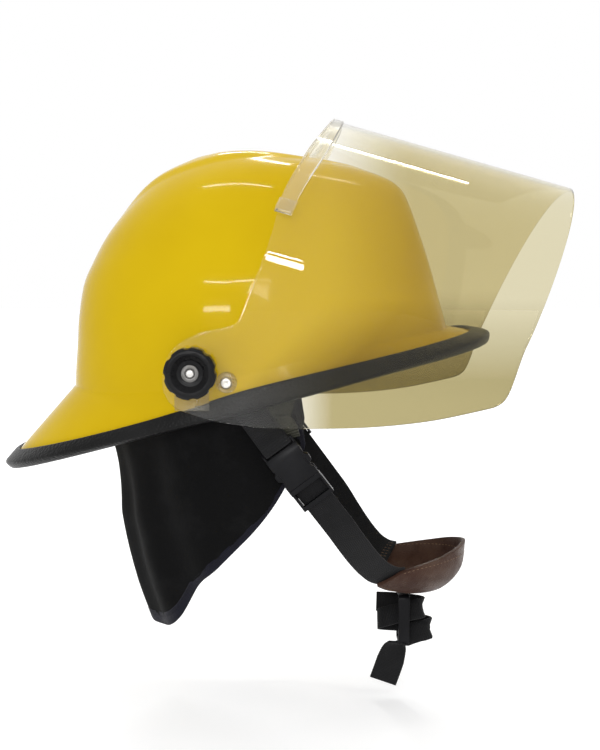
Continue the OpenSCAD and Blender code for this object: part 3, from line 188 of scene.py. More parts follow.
def onObject(tree, stretch=(1, 1, 1)):
    where = addNode(tree, "ShaderNodeTexCoord").outputs["Object"]
    return addNode(tree, "ShaderNodeMapping", Vector=where, Scale=stretch).outputs[0]


def objectNoise(tree, scale, detail=3.0, rough=0.55, stretch=(1, 1, 1)):
    return addNode(tree, "ShaderNodeTexNoise", Vector=onObject(tree, stretch), Scale=scale,
                   Detail=detail, Roughness=rough).outputs["Fac"]


def objectCells(tree, scale, feature="SMOOTH_F1"):
    return addNode(tree, "ShaderNodeTexVoronoi", {"feature": feature}, Vector=onObject(tree),
                   Scale=scale).outputs["Distance"]


def raised(tree, shader, height, depth, strength):
    bump = addNode(tree, "ShaderNodeBump", Height=height, Distance=depth * mm, Strength=strength)
    drive(tree, shader, Normal=bump.outputs[0])


def gelcoat():
    # sprayed yellow gelcoat, glossy, with faint orange peel and fine scuffs
    finish = {"colour": (0.61, 0.415, 0.001), "shade": (0.56, 0.37, 0.0005), "coat": 0.14,
              "rough": 0.14, "scuff": 0.14, "peel": 0.06}
    material, tree, shader = startMaterial("gelcoatYellow", finish["colour"], 0.2,
                                           Coat_Weight=finish["coat"], Coat_Roughness=0.02,
                                           Specular_IOR_Level=0.02)
    broad = ramp(tree, objectNoise(tree, 9.0), 0.42, 0.72)
    scuffs = ramp(tree, objectNoise(tree, 60.0, 6.0, 0.7, (1, 1, 7)), 0.56, 0.8)
    drive(tree, shader, Base_Color=blendColour(tree, broad, finish["colour"], finish["shade"]),
          Roughness=calc(tree, "MULTIPLY_ADD", scuffs, finish["scuff"], finish["rough"]))
    raised(tree, shader, objectNoise(tree, 220.0, 2.0), finish["peel"], 0.35)
    return material


def grainedRubber(name, colour=(0.006, 0.006, 0.006), cells=620.0, roughness=0.36):
    material, tree, shader = startMaterial(name, colour, roughness, Specular_IOR_Level=0.12)
    pebbles = ramp(tree, objectCells(tree, cells), 0.0, 0.75)
    pits = objectNoise(tree, 900.0, 4.0)
    raised(tree, shader, calc(tree, "MULTIPLY_ADD", pits, 0.35, pebbles), 0.35, 0.9)
    dust = ramp(tree, objectNoise(tree, 28.0, 5.0), 0.45, 0.8)
    drive(tree, shader, Base_Color=blendColour(tree, dust, colour,
                                               tuple(c * 1.8 + 0.002 for c in colour)))
    return material


def moulded(name, colour, roughness=0.38, grain=0.05, scale=700.0):
    # injection moulded plastic with a fine spark finish and rubbed patches
    material, tree, shader = startMaterial(name, colour, roughness, Specular_IOR_Level=0.12)
    rub = ramp(tree, objectNoise(tree, 45.0, 5.0), 0.4, 0.75)
    paler = tuple(min(c * 1.5 + 0.003, 1) for c in colour)
    drive(tree, shader, Base_Color=blendColour(tree, rub, colour, paler),
          Roughness=calc(tree, "MULTIPLY_ADD", rub, 0.12, roughness - 0.05))
    raised(tree, shader, objectNoise(tree, scale), grain, 0.6)
    return material


def platedSteel(name="platedSteel", tone=0.6):
    material, tree, shader = startMaterial(name, (tone, tone, tone * 0.95), 0.32, Metallic=1.0)
    drawn = objectNoise(tree, 240.0, 4.0, 0.6, (1, 1, 9))
    raised(tree, shader, drawn, 0.03, 0.5)
    stain = ramp(tree, objectNoise(tree, 70.0, 5.0), 0.45, 0.75)
    drive(tree, shader, Roughness=ramp(tree, drawn, -0.6, 1.9),
          Base_Color=blendColour(tree, stain, (tone, tone * 0.98, tone * 0.95),
                                 (tone * 0.7, tone * 0.66, tone * 0.6)))
    return material


def onWeave(tree):
    # place on a sheet's own map, in metres
    node = addNode(tree, "ShaderNodeUVMap", {"uv_map": "weave"})
    split = addNode(tree, "ShaderNodeSeparateXYZ", Vector=node.outputs[0])
    return split.outputs["X"], split.outputs["Y"]


def band(tree, source, pitch):
    # rounded ribs, one for each pitch
    turned = calc(tree, "MULTIPLY", source, 2 * math.pi / (pitch * mm))
    return calc(tree, "MULTIPLY_ADD", calc(tree, "SINE", turned), 0.5, 0.5)


def webbing(name, colour, rubbed, pitch=(1.3, 1.0)):
    # woven strap: ribs along and picks across, by the strap's own map, with painted shade in the
    # grooves
    material, tree, shader = startMaterial(name, colour, 0.7, Sheen_Weight=0.06,
                                           Specular_IOR_Level=0.2)
    x, y = onWeave(tree)
    slant = band(tree, calc(tree, "ADD", x, y), pitch[0] * 1.4)
    rows = calc(tree, "MAXIMUM", band(tree, x, pitch[0]), slant)
    weave = calc(tree, "MULTIPLY", rows, band(tree, y, pitch[1]))
    raised(tree, shader, weave, 0.22, 0.9)
    rub = ramp(tree, objectNoise(tree, 70.0, 6.0, 0.65), 0.42, 0.78)
    # painted shade: where the weave's bump is low, the colour is darkened to about a third
    drive(tree, shader, Base_Color=blendColour(tree, ramp(tree, weave, 0.0, 0.5),
                                               tuple(c * 0.35 for c in colour),
                                               blendColour(tree, rub, colour, rubbed)))
    return material


def curtainCloth():
    # dense matt twill that hides its own weave from a step away
    cloth = {"colour": (0.0032, 0.0032, 0.0034), "lint": (0.009, 0.009, 0.0095), "twill": 1.5,
             "pick": 0.9, "depth": 0.12}
    material, tree, shader = startMaterial("curtainCloth", cloth["colour"], 0.93,
                                           Sheen_Weight=0.02, Specular_IOR_Level=0.12)
    x, y = onWeave(tree)
    twill = band(tree, calc(tree, "ADD", x, y), cloth["twill"])
    picks = band(tree, calc(tree, "SUBTRACT", x, y), cloth["pick"])
    raised(tree, shader, calc(tree, "MULTIPLY", twill, picks), cloth["depth"], 0.7)
    lint = ramp(tree, objectNoise(tree, 40.0, 7.0, 0.7), 0.5, 0.85)
    drive(tree, shader, Base_Color=blendColour(tree, lint, cloth["colour"], cloth["lint"]))
    return material


def leather(name, colour, rubbed, pores=520.0):
    material, tree, shader = startMaterial(name, colour, 0.5, Specular_IOR_Level=0.13)
    creases = ramp(tree, objectCells(tree, pores, "DISTANCE_TO_EDGE"), 0.0, 0.25)
    grain = objectNoise(tree, 420.0, 5.0)
    raised(tree, shader, calc(tree, "MULTIPLY_ADD", grain, 0.5, creases), 0.14, 0.8)
    rub = ramp(tree, objectNoise(tree, 38.0, 6.0, 0.65), 0.4, 0.7)
    drive(tree, shader, Base_Color=blendColour(tree, rub, colour, rubbed),
          Roughness=ramp(tree, rub, 1.6, -1.2))
    return material


def letLightThrough(tree, shader):
    # light passes on to what a clear piece covers
    ray = addNode(tree, "ShaderNodeLightPath").outputs
    passing = addNode(tree, "ShaderNodeMixShader",
                      Fac=calc(tree, "MAXIMUM", ray["Is Shadow Ray"], ray["Is Diffuse Ray"]))
    through = addNode(tree, "ShaderNodeBsdfTransparent", Color=(0.94, 0.93, 0.9, 1.0))
    feed(tree, passing.inputs[1], shader.outputs[0])
    feed(tree, passing.inputs[2], through.outputs[0])
    feed(tree, tree.nodes["Material Output"].inputs["Surface"], passing.outputs[0])


def clearSheet():
    # hard coated clear sheet with hairline marks, clear over the shell; ahead of the shell its
    # colour is a painted tan that stands in for the room seen through it, with painted shade darker
    # towards the bottom
    paintedRoomTint = {"clear": (0.985, 0.98, 0.955), "high": (0.735, 0.675, 0.46), "low": (0.35, 0.30, 0.14),
            "ahead": (0.062, 0.118), "drop": (-0.060, -0.112), "shift": 0.052}
    material, tree, shader = startMaterial("clearSheet", paintedRoomTint["high"], 0.0, IOR=1.35,
                                           Transmission_Weight=1.0, Specular_IOR_Level=0.08)
    where = addNode(tree, "ShaderNodeTexCoord").outputs["Object"]
    split = addNode(tree, "ShaderNodeSeparateXYZ", Vector=where)
    # painted shade: the painted room colour turns darker towards the bottom of the sheet
    below = ramp(tree, split.outputs["Z"], *paintedRoomTint["drop"])
    front = blendColour(tree, below, paintedRoomTint["high"], paintedRoomTint["low"])
    moved = calc(tree, "MULTIPLY_ADD", below, paintedRoomTint["shift"], split.outputs["X"])
    ahead = ramp(tree, moved, *paintedRoomTint["ahead"])
    marks = ramp(tree, objectNoise(tree, 90.0, 8.0, 0.75, (1, 1, 5)), 0.62, 0.9)
    # painted light: the tan stands in for the room seen through the clear sheet, only where the
    # sheet stands ahead of the shell
    drive(tree, shader, Base_Color=blendColour(tree, ahead, paintedRoomTint["clear"], front),
          Roughness=calc(tree, "MULTIPLY", marks, 0.1))
    letLightThrough(tree, shader)
    return material


def clearMoulded(name, colour, roughness):
    material, tree, shader = startMaterial(name, colour, roughness, Transmission_Weight=0.97,
                                           IOR=1.33)
    flow = ramp(tree, objectNoise(tree, 120.0, 4.0), 0.3, 0.8)
    drive(tree, shader, Roughness=calc(tree, "MULTIPLY_ADD", flow, 0.1, roughness))
    raised(tree, shader, objectNoise(tree, 260.0, 2.0), 0.08, 0.4)
    letLightThrough(tree, shader)
    return material


def foam(name, colour):
    material, tree, shader = startMaterial(name, colour, 0.85, Specular_IOR_Level=0.25)
    beads = objectCells(tree, 260.0)
    raised(tree, shader, beads, 0.5, 0.8)
    drive(tree, shader, Base_Color=blendColour(tree, ramp(tree, beads, 0.0, 0.8), colour,
                                               tuple(c * 1.7 for c in colour)))
    return material


def nappedCloth(name, colour):
    material, tree, shader = startMaterial(name, colour, 0.9, Sheen_Weight=0.4,
                                           Specular_IOR_Level=0.2)
    nap = objectNoise(tree, 900.0, 6.0, 0.7)
    raised(tree, shader, nap, 0.3, 0.8)
    drive(tree, shader, Base_Color=blendColour(tree, nap, tuple(c * 0.5 for c in colour),
                                               tuple(c * 1.6 for c in colour)))
    return material


yellowShell = gelcoat()
trimRubber = grainedRubber("trimRubber")
washerRubber = grainedRubber("washerRubber", (0.02, 0.02, 0.02), 900.0, 0.55)
blackNylon = moulded("blackNylon", (0.016, 0.016, 0.018), 0.42)
greyNylon = moulded("greyNylon", (0.30, 0.30, 0.31), 0.45)
knobPlastic = moulded("knobPlastic", (0.006, 0.006, 0.0065), 0.3, 0.03)
bucklePlastic = moulded("bucklePlastic", (0.005, 0.005, 0.006), 0.33, 0.05, 900.0)
steel = platedSteel()
blackWeb = webbing("blackWeb", (0.0045, 0.0045, 0.0052), (0.012, 0.012, 0.014))
cradleWeb = webbing("cradleWeb", (0.02, 0.02, 0.024), (0.045, 0.045, 0.05))
oliveWeb = webbing("oliveWeb", (0.045, 0.045, 0.034), (0.08, 0.08, 0.062))
navyTape = webbing("navyTape", (0.005, 0.005, 0.014), (0.010, 0.010, 0.026), (0.8, 0.8))
hookTape = webbing("hookTape", (0.012, 0.012, 0.014), (0.03, 0.03, 0.034), (1.0, 1.0))
curtainBlack = curtainCloth()
cupLeather = leather("cupLeather", (0.046, 0.021, 0.014), (0.088, 0.050, 0.034))
sweatLeather = leather("sweatLeather", (0.11, 0.060, 0.035), (0.19, 0.12, 0.08), 700.0)
blackThread = moulded("blackThread", (0.010, 0.010, 0.012), 0.6, 0.1, 2500.0)
tanThread = moulded("tanThread", (0.16, 0.10, 0.06), 0.65, 0.1, 2500.0)
darkSteel = platedSteel("darkSteel", 0.16)
visorClear = clearSheet()
stripClear = clearMoulded("stripClear", (0.97, 0.95, 0.88), 0.03)
spacerClear = clearMoulded("spacerClear", (0.74, 0.71, 0.62), 0.2)
linerFoam = foam("linerFoam", (0.045, 0.045, 0.05))
padCloth = nappedCloth("padCloth", (0.03, 0.03, 0.034))
print("materials made")

# the shell's form, in millimetres in the level frame, as the CAD model has it
shell = {"tilt": 14.7, "wall": 3.0, "middle": -15.0, "rise": 10.0, "panelAt": 8.0,
         "panelLength": 172.0, "panelWidth": 62.0, "panelRise": 2.0}
shellRows = [(148.2, -129.2, -201.6, -131.6, 104.5, -129.0),
             (122.5, -118, -141.5, -91, 101, -108.5), (122.3, -95, -138, -80, 100.5, -90),
             (121.8, -70, -133, -66, 99.5, -69), (120.2, -45, -126.3, -46, 97.5, -47),
             (118.3, -26, -117, -25, 92.5, -25), (115, -15, -107, -12, 86.5, -10),
             (106, -5.5, -91.5, 4.5, 76, 5), (88, 6, -71, 20, 61, 18.5),
             (62, 17.5, -49, 32.5, 43, 28.5), (30, 31, -27, 37.8, 22, 36), (-5, 39, -5, 39, 0, 39),
             (-27, 37.8, 30, 31, -22, 36)]


def worn(p):
    # from the level frame to the frame of the tilted helmet, as it is worn
    c, s = cosSin(shell["tilt"])
    return (p[0] * c - p[2] * s, p[1], p[0] * s + p[2] * c)


def clamp(x, low=0, high=1):
    return min(max(x, low), high)


def ease(x):
    k = clamp(x)
    return k * k * (3 - 2 * k)


def cosSin(degrees):
    return math.cos(math.radians(degrees)), math.sin(math.radians(degrees))


def bulge(x, power):
    # a power that keeps the sign, for squarish outlines
    return math.copysign(abs(x) ** power, x)


def unit(v):
    return Vector(v).normalized()


def lerp(a, b, t):
    return a + (b - a) * t


def hermite(a, b, leave, arrive, t):
    # from a to b, with the slopes there
    return (a * (1 - 3 * t * t + 2 * t ** 3) + b * (3 * t * t - 2 * t ** 3)
            + leave * (t * (1 - t) ** 2) - arrive * (t * t * (1 - t)))


def smooth4(a, b, c, d, t):
    # from b to c, with a before them and d after
    return b + 0.5 * t * (c - a + t * (2 * a - 5 * b + 4 * c - d + t * (3 * (b - c) + d - a)))


def along(points, s):
    # point on the smooth curve through a list, counted in list steps
    last = len(points) - 1
    i = clamp(int(s), 0, last - 1)
    b, c = Vector(points[i]), Vector(points[i + 1])
    a = Vector(points[i - 1]) if i > 0 else 2 * b - c
    d = Vector(points[i + 2]) if i < last - 1 else 2 * c - b
    return smooth4(a, b, c, d, s - i)


def otherSide(points):
    return [Vector((p[0], -p[1], p[2])) for p in points]


def rowAt(t):
    # t counts the rows of shellRows: the brim's edge is 0, where it meets the dome 1, the top 11
    if t <= 1:
        return [lerp(a, b, t) for a, b in zip(shellRows[0], shellRows[1])]
    i = min(int(t), 10)
    first = shellRows[i - 1] if i > 1 else [2 * a - b for a, b in zip(shellRows[1], shellRows[2])]
    return [smooth4(a, b, c, d, t - i)
            for a, b, c, d in zip(first, shellRows[i], shellRows[i + 1], shellRows[i + 2])]


def skin(t, q):
    # a place on the shell's outer face, q degrees round from the front
    row = rowAt(t)
    middle = shell["middle"] + shell["rise"] * (t / 11) ** 3
    c, s = cosSin(q)
    square = 2.6 - 0.05 * t if c >= 0 else 2.1
    ahead = abs(c) ** (2 / square)
    u = middle + math.copysign(row[0] - middle if c >= 0 else middle - row[2], c) * ahead
    v = row[4] * bulge(s, 2 / square)
    w = row[5] + ((row[1] if c >= 0 else row[3]) - row[5]) * ahead ** 2.5
    if t > 6:
        reach = math.hypot((u - shell["panelAt"]) / (shell["panelLength"] / 2),
                           v / (shell["panelWidth"] / 2))
        w += shell["panelRise"] * ease((1.12 - reach) / 0.3)
    return Vector((u, v, w))


def skinNormal(t, q):
    step = 0.02 if t < 1 else 0.12
    low, high = max(t - step, 0), min(t + step, 10.95)
    return unit((skin(t, q + 1.5) - skin(t, q - 1.5)).cross(skin(high, q) - skin(low, q)))


def skinIn(t, q, depth):
    return skin(t, q) - skinNormal(t, q) * depth


def makeShell():
    size = {"columns": 192, "lowStep": 0.25, "highStep": 0.1}
    # closer steps where the brim turns up into the dome
    steps = [0, 0.33, 0.66, 0.93, 1.0, 1.07, 1.2]
    while steps[-1] < 10.75:
        steps.append(steps[-1] + (size["lowStep"] if steps[-1] < 6 else size["highStep"]))
    bm = bmesh.new()
    loops = ringSkin(bm, [lambda q, t=t: worn(skin(t, q)) for t in steps], size["columns"])
    top = Vector(worn(skin(10.999, 0))) * mm
    last = bmesh.ops.extrude_edge_only(bm, edges=loops[-1][1])["geom"]
    bmesh.ops.pointmerge(bm, verts=[g for g in last if isinstance(g, bmesh.types.BMVert)],
                         merge_co=top)
    bmesh.ops.recalc_face_normals(bm, faces=bm.faces)
    obj = finishMesh("shellBody", bm, 60.0)
    thicken(obj, shell["wall"])
    dress(obj, yellowShell, "shell_yellow", "shell")
    print("shell made")


def makeTrim():
    size = {"leg": 11.5, "lip": 2.5, "skin": 2.1, "gap": 0.3, "columns": 192}
    a = size["skin"] + size["gap"]  # outer face, off the shell
    inner = -shell["wall"] - size["gap"]
    low = inner - size["skin"]
    mid = -shell["wall"] / 2
    leg, lip, gap = size["leg"], size["lip"], size["gap"]
    profile = [(-leg, gap), (gap, gap), (gap, inner), (-leg, inner), (-leg - 0.15, low + 1.2),
               (-leg + 0.6, low), (-4, low), (0, low), (lip * 0.5, low + 0.35),
               (lip * 0.85, low + 1.2), (lip, mid - 1), (lip, mid + 1), (lip * 0.85, a - 1.2),
               (lip * 0.5, a - 0.35), (0, a), (-4, a), (-leg + 1.6, a), (-leg + 0.6, a - 0.25),
               (-leg, a - 0.9)]

    def ring(x, y):
        def place(q):
            out = unit(skin(0, q) - skin(0.5, q))
            return worn(skin(0, q) + out * x + skinNormal(0.2, q) * y)
        return place
    bm = bmesh.new()
    ringSkin(bm, [ring(x, y) for x, y in profile], size["columns"], closed=True)
    bmesh.ops.recalc_face_normals(bm, faces=bm.faces)
    obj = finishMesh("edgeTrim", bm, 50.0)
    dress(obj, trimRubber, "trim_rubber", "edge_trim")
    print("edge trim made")


makeShell()
makeTrim()

# pieces that keep their CAD shape, with their edges broken by a radius in millimetres
rigid = [
    (blackNylon, "black_nylon", {
        "suspension_ring": 0.4, "front_hanger": 0.35, "rear_hangers": 0.25, "headband_left": 0.35,
        "headband_right": 0.35, "ratchet_housing": 0.5, "ratchet_cover": 0.5, "ratchet_knob": 0.8}),
    (steel, "plated_steel", {
        "brow_rivet": 0.3, "pivot_bolts": 0.3, "side_brackets": 0.3, "anchor_screws": 0.3,
        "anchor_nuts": 0.2, "hanger_pins": 0.3, "strap_hangers": 0.3}),
    (darkSteel, "plated_steel", {"right_knob_insert": 0.3, "left_knob_insert": 0.3}),
    (greyNylon, "grey_nylon", {"ratchet_pinion": 0.15, "bracket_bushings": 0.3}),
    (stripClear, "clear_strip", {"strip_ferrules": 0.25}),
    (spacerClear, "clear_strip", {"pivot_spacers": 0.5, "anchor_washers": 0.5}),
    (washerRubber, "washer_rubber", {"outer_friction_washers": 0.2, "inner_friction_washers": 0.2}),
    (knobPlastic, "knob_black", {"right_knob": 0.7, "left_knob": 0.7}),
    (bucklePlastic, "knob_black", {
        "buckle_socket": 0.45, "buckle_plug": 0.4, "prong_front": 0.35, "prong_rear": 0.35,
        "strap_slider": 0.4, "tail_keeper": 0.4}),
]
bodyOf = {"ratchet_pinion": "ratchet_knob", "strip_ferrules": "visor",
          "right_knob_insert": "right_knob", "left_knob_insert": "left_knob"}
for own in ("headband_left", "headband_right", "ratchet_knob", "right_knob", "left_knob",
            "buckle_plug", "prong_front", "prong_rear"):
    bodyOf[own] = own
for material, slot, radii in rigid:
    for node, radius in radii.items():
        dress(roundedCopy(node, radius), material, slot, node, body=bodyOf.get(node, "helmet"))
print("rigid pieces made")


def stitches(name, spots, length, width, material, slot, body="helmet"):
    # short raised stitches along a run of (place, direction, outward) spots, in millimetres
    bm = bmesh.new()
    for place, way, outward in spots:
        way, outward = unit(way), unit(outward)
        turn = Matrix((way, outward.cross(way), outward)).transposed().to_4x4()
        shape = Matrix.Diagonal((length / 2, width / 2, width / 2, 1.0))
        there = Matrix.Translation(Vector(place) * mm) @ turn @ (Matrix.Scale(mm, 4) @ shape)
        bmesh.ops.create_icosphere(bm, subdivisions=1, radius=1.0, matrix=there)
    return dress(finishMesh(name, bm, 80.0), material, slot, body=body)


def runOf(place, facing, pitch, start=0.0, end=1.0):
    # evenly spaced spots along a curve given on 0 to 1, with its outward direction
    steps = 160
    points = [Vector(place(start + (end - start) * i / steps)) for i in range(steps + 1)]
    spots, gone, due = [], 0.0, pitch / 2
    for i, (a, b) in enumerate(zip(points, points[1:])):
        piece = (b - a).length
        while piece > 0 and gone + piece >= due:
            k = (due - gone) / piece
            spots.append((a + (b - a) * k, b - a, facing(start + (end - start) * (i + k) / steps)))
            due += pitch
        gone += piece
    return spots


def smoothRun(path, sides, widths, pitch=2.4):
    # centre, side and width at close steps along a path whose points may be unevenly spaced
    points = [Vector(p) for p in path]
    reach = [max((b - a).length, 0.05) for a, b in zip(points, points[1:])]
    slopes = [(b - a) / d for a, b, d in zip(points, points[1:], reach)]
    turns = [slopes[0]] + [(slopes[i - 1] * reach[i] + slopes[i] * reach[i - 1])
                           / (reach[i - 1] + reach[i]) for i in range(1, len(reach))] + [slopes[-1]]
    run = []
    for i, d in enumerate(reach):
        count = max(int(d / pitch), 2)
        for j in range(count + (i == len(reach) - 1)):
            t = j / count
            centre = hermite(points[i], points[i + 1], turns[i] * d, turns[i + 1] * d, t)
            run.append((centre, unit(lerp(Vector(sides[i]), Vector(sides[i + 1]), t)),
                        lerp(widths[i], widths[i + 1], t)))
    return run


def strapSkin(name, path, sides, width, thick, edge=0.32):
    # webbing along a path, given the direction of its width at each point
    widths = width if isinstance(width, list) else [width] * len(path)
    run = smoothRun(path, sides, widths)
    last = len(run) - 1
    across, gone = [], [0.0]
    for i, (centre, side, wide) in enumerate(run):
        tangent = run[min(i + 1, last)][0] - run[max(i - 1, 0)][0]
        across.append(unit(tangent.cross(side.cross(tangent))))
        gone.append(gone[-1] + (centre - run[max(i - 1, 0)][0]).length)

    def place(s, t):
        i = round(t * last)
        return run[i][0] + across[i] * ((s - 0.5) * run[i][2])
    return thicken(gridSkin(name, place, 4, last, (max(widths), gone[-1])), thick, 0.0, edge, 2)


# chin strap: where it hangs, its buckle and its folds
strap = {"width": 20.0, "thick": 1.6, "barGap": 0.3, "bar": 1.8, "hanger": 1.6, "hangerY": 90.26,
         "tab": 16.5, "barHalf": 1.6, "inside": 3.8, "plugStart": 34.5, "sliderStart": 8.6,
         "plugEnd": 48.0, "travel": 20.0, "anchorAhead": 19.2, "anchorBelow": 12.8,
         "pinAhead": 65.0, "tail": 10.0, "frontTail": 12.0}
away = Vector((0, -1, 0))
buckleAt = Vector((29.6, -88.0, -156.7))
buckleAlong = unit(Vector((58.6, -81.5, -195.3)) - buckleAt)
buckleOut = unit(away - buckleAlong * away.dot(buckleAlong))
buckleSide = buckleOut.cross(buckleAlong)
layOff = strap["thick"] / 2 + 0.15
pivotAt = (-49.8, 0.0, -97.0)


def onBuckle(s, x=0.0, y=0.0):
    # along the buckle from its upper bar, across it and out of it
    return buckleAt + buckleAlong * s + buckleSide * x + buckleOut * y


def foldAt(o, d, out, tail, half):
    # a turn round a bar at o: the tail comes up behind it and the run leaves in front
    b = strap["bar"] + strap["barGap"] + strap["thick"] / 2
    off = half + 0.25 + strap["thick"] / 2
    return [o + d * (b + tail) - out * layOff, o + d * (b + 8) - out * layOff,
            o + d * (b + 4) - out * off, o + d * 0.75 - out * off, o + d * 0.15 - out * off * 0.7,
            o, o + d * 0.15 + out * off * 0.7, o + d * 0.75 + out * off,
            o + d * (b + 4) + out * off, o + d * (b + 8) + out * layOff]


def makeChinStrap():
    size = {"stitch": 2.6, "thread": 0.42, "sewn": (-13, 9.5), "nearBar": (-5, 9.3),
            "overBar": (1.5, 7), "under": 1.5, "ease": 36, "lapEase": 6, "lap": 1.65, "lapIn": 3.2}
    middle = strap["hangerY"] - strap["hanger"] / 2
    rearHang = Vector(worn((pivotAt[0] + strap["anchorAhead"], -middle,
                            pivotAt[2] - strap["anchorBelow"])))
    frontHang = Vector(worn((pivotAt[0] + strap["pinAhead"], -middle, pivotAt[2])))
    sewn = onBuckle(*size["sewn"])
    rearWay = unit((buckleAt.x - rearHang.x, 0, buckleAt.z - rearHang.z))
    frontWay = unit((sewn.x - frontHang.x, 0, sewn.z - frontHang.z))
    slotAt = strap["tab"] - strap["bar"] - strap["barGap"] - strap["thick"] / 2
    socketSlot = strap["bar"] + strap["barGap"] + strap["thick"] / 2
    rearTop = rearHang + rearWay * slotAt
    atHanger, atSocket = strap["hanger"] / 2, strap["barHalf"]
    rearPath = foldAt(rearTop, rearWay, away, strap["tail"], atHanger)
    rearPath += reversed(foldAt(onBuckle(socketSlot), -buckleAlong, buckleOut, strap["tail"],
                                atSocket))
    rearSide = unit(unit(buckleAt - rearTop).cross(away))
    under = layOff + strap["thick"] + size["under"]
    underBar = strap["barHalf"] + strap["thick"] * 1.5 + 0.55
    fold = foldAt(frontHang + frontWay * slotAt, frontWay, away, strap["frontTail"], atHanger)
    frontMid = sewn - buckleOut * under
    frontPath = fold + [lerp(fold[9], frontMid, 0.5) - away * 1.1, frontMid,
                        onBuckle(*size["nearBar"], -underBar),
                        onBuckle(*size["overBar"], -underBar - 0.2)]
    frontSide = unit(frontWay.cross(away))
    straightEnd = strap["plugEnd"] + strap["travel"] + 3
    lap = cupAt(-0.97, 0.5) + cupNormal(-0.97, 0.5) * (strap["thick"] / 2 + size["lap"])
    lapIn = cupAt(-0.87, 0.5) + cupNormal(-0.87, 0.5) * (strap["thick"] / 2 + size["lapIn"])
    sideEnd = unit(cupAt(-0.97, 1) - cupAt(-0.97, 0))

    def lowerPath(s0):
        a = onBuckle(straightEnd, 0, -strap["inside"])
        path = [onBuckle(s0, 0, -strap["inside"]),
                onBuckle(straightEnd - 2.4, 0, -strap["inside"]), a]
        leave, arrive = buckleAlong * size["ease"], (lapIn - lap) * size["lapEase"]
        path += [hermite(a, lap, leave, arrive, k / 6) for k in range(1, 6)]
        path += [lap, lapIn]
        sides = [unit(lerp(buckleSide, sideEnd, clamp((i - 2) / 6))) for i in range(len(path))]
        return path, sides

    def both(name, path, sides, material, slot, node, turned):
        if turned:
            path, sides = otherSide(path), otherSide(sides)
        dress(strapSkin(name, path, sides, strap["width"], strap["thick"]), material, slot, node)
        return path, sides

    def tack(name, path, sides, i, t, outward, material, slot):
        # two rows of stitches across a doubled strap
        centre = lerp(Vector(path[i]), Vector(path[i + 1]), t)
        way = unit(Vector(path[i + 1]) - Vector(path[i]))
        side = unit(way.cross(Vector(sides[i]).cross(way)))
        face = centre + outward * (strap["thick"] / 2)
        spots = [(face + way * row + side * k * 2.5, way, outward) for row in (0.0, 3.2)
                 for k in range(-3, 4)]
        stitches(name, spots, size["stitch"], size["thread"], material, slot)

    for turned, word in ((False, "right"), (True, "left")):
        out = Vector((0, 1, 0)) if turned else away
        rear = both(word + "RearStrap", rearPath, [rearSide] * len(rearPath), blackWeb, "black_web",
                    word + "_rear_webbing", turned)
        front = both(word + "FrontStrap", frontPath, [frontSide] * len(frontPath), oliveWeb,
                     "olive_web", word + "_front_webbing", turned)
        tack(word + "RearTack", *rear, 9, 0.1, out, blackThread, "black_web")
        tack(word + "FrontTack", *front, 9, 0.1, out, blackThread, "olive_web")
        path, sides = lowerPath(strap["sliderStart" if turned else "plugStart"])
        low = both(word + "LowerStrap", path, sides, blackWeb, "black_web",
                   word + "_lower_webbing", turned)
        cupUp = cupNormal(-0.92, 0.5)
        tack(word + "CupTack", *low, 8, 0.15, otherSide([cupUp])[0] if turned else cupUp, tanThread,
             "cup_leather")
    print("chin strap made")


# chin cup, by rows of points from its middle to its end
cupRows = [[[112, 0, -270.5], [128, 0, -273], [146, 0, -269.5], [159, 0, -256], [162, 0, -236.5]],
           [[110.5, -16, -268.5], [125, -17, -270], [141, -18, -266], [152.5, -18.5, -254.5],
            [155.5, -18.5, -239]],
           [[105.5, -30, -264.5], [116, -32.5, -263.5], [127, -34, -259.5], [135.5, -34.5, -252.5],
            [140, -33.5, -244]],
           [[98.5, -42, -259.5], [102.5, -43.5, -257.5], [106.5, -44.5, -255.2],
            [110.5, -45, -252.7], [114.6, -45, -250]]]


def cupAt(s, b):
    at = abs(s) * 3
    rows = [along(row, b * 4) for row in cupRows]
    i = min(int(at), 2)
    before = Vector((rows[1].x, -rows[1].y, rows[1].z)) if i == 0 else rows[i - 1]
    after = 2 * rows[3] - rows[2] if i == 2 else rows[i + 2]
    p = smooth4(before, rows[i], rows[i + 1], after, at - i)
    return Vector((p.x, p.y if s < 0 else -p.y, p.z))


def cupNormal(s, b):
    s0, s1 = max(s - 0.04, -1), min(s + 0.04, 1)
    b0, b1 = max(b - 0.05, 0), min(b + 0.05, 1)
    return unit((cupAt(s, b1) - cupAt(s, b0)).cross(cupAt(s1, b) - cupAt(s0, b)))


def makeChinCup():
    size = {"leather": 2.6, "stitch": 2.4, "pitch": 3.3, "thread": 0.5, "margin": 0.1}
    obj = gridSkin("chinCup", lambda s, t: cupAt(2 * t - 1, s), 22, 64, (48, 120))
    upward = obj.data.polygons[len(obj.data.polygons) // 2].normal.z > 0
    thicken(obj, size["leather"], -1.0 if upward else 1.0, 0.7, 3)
    dress(obj, cupLeather, "cup_leather", "chin_cup")
    spots = []
    for b in (size["margin"], 1 - size["margin"]):
        for lift, sign in ((0.0, 1), (size["leather"], -1)):
            spots += runOf(lambda k, b=b, lift=lift: cupAt(k, b) - cupNormal(k, b) * lift,
                           lambda k, b=b, sign=sign: cupNormal(k, b) * sign, size["pitch"],
                           -0.97, 0.97)
    stitches("cupStitches", spots, size["stitch"], size["thread"], tanThread, "cup_leather")
    print("chin cup made")


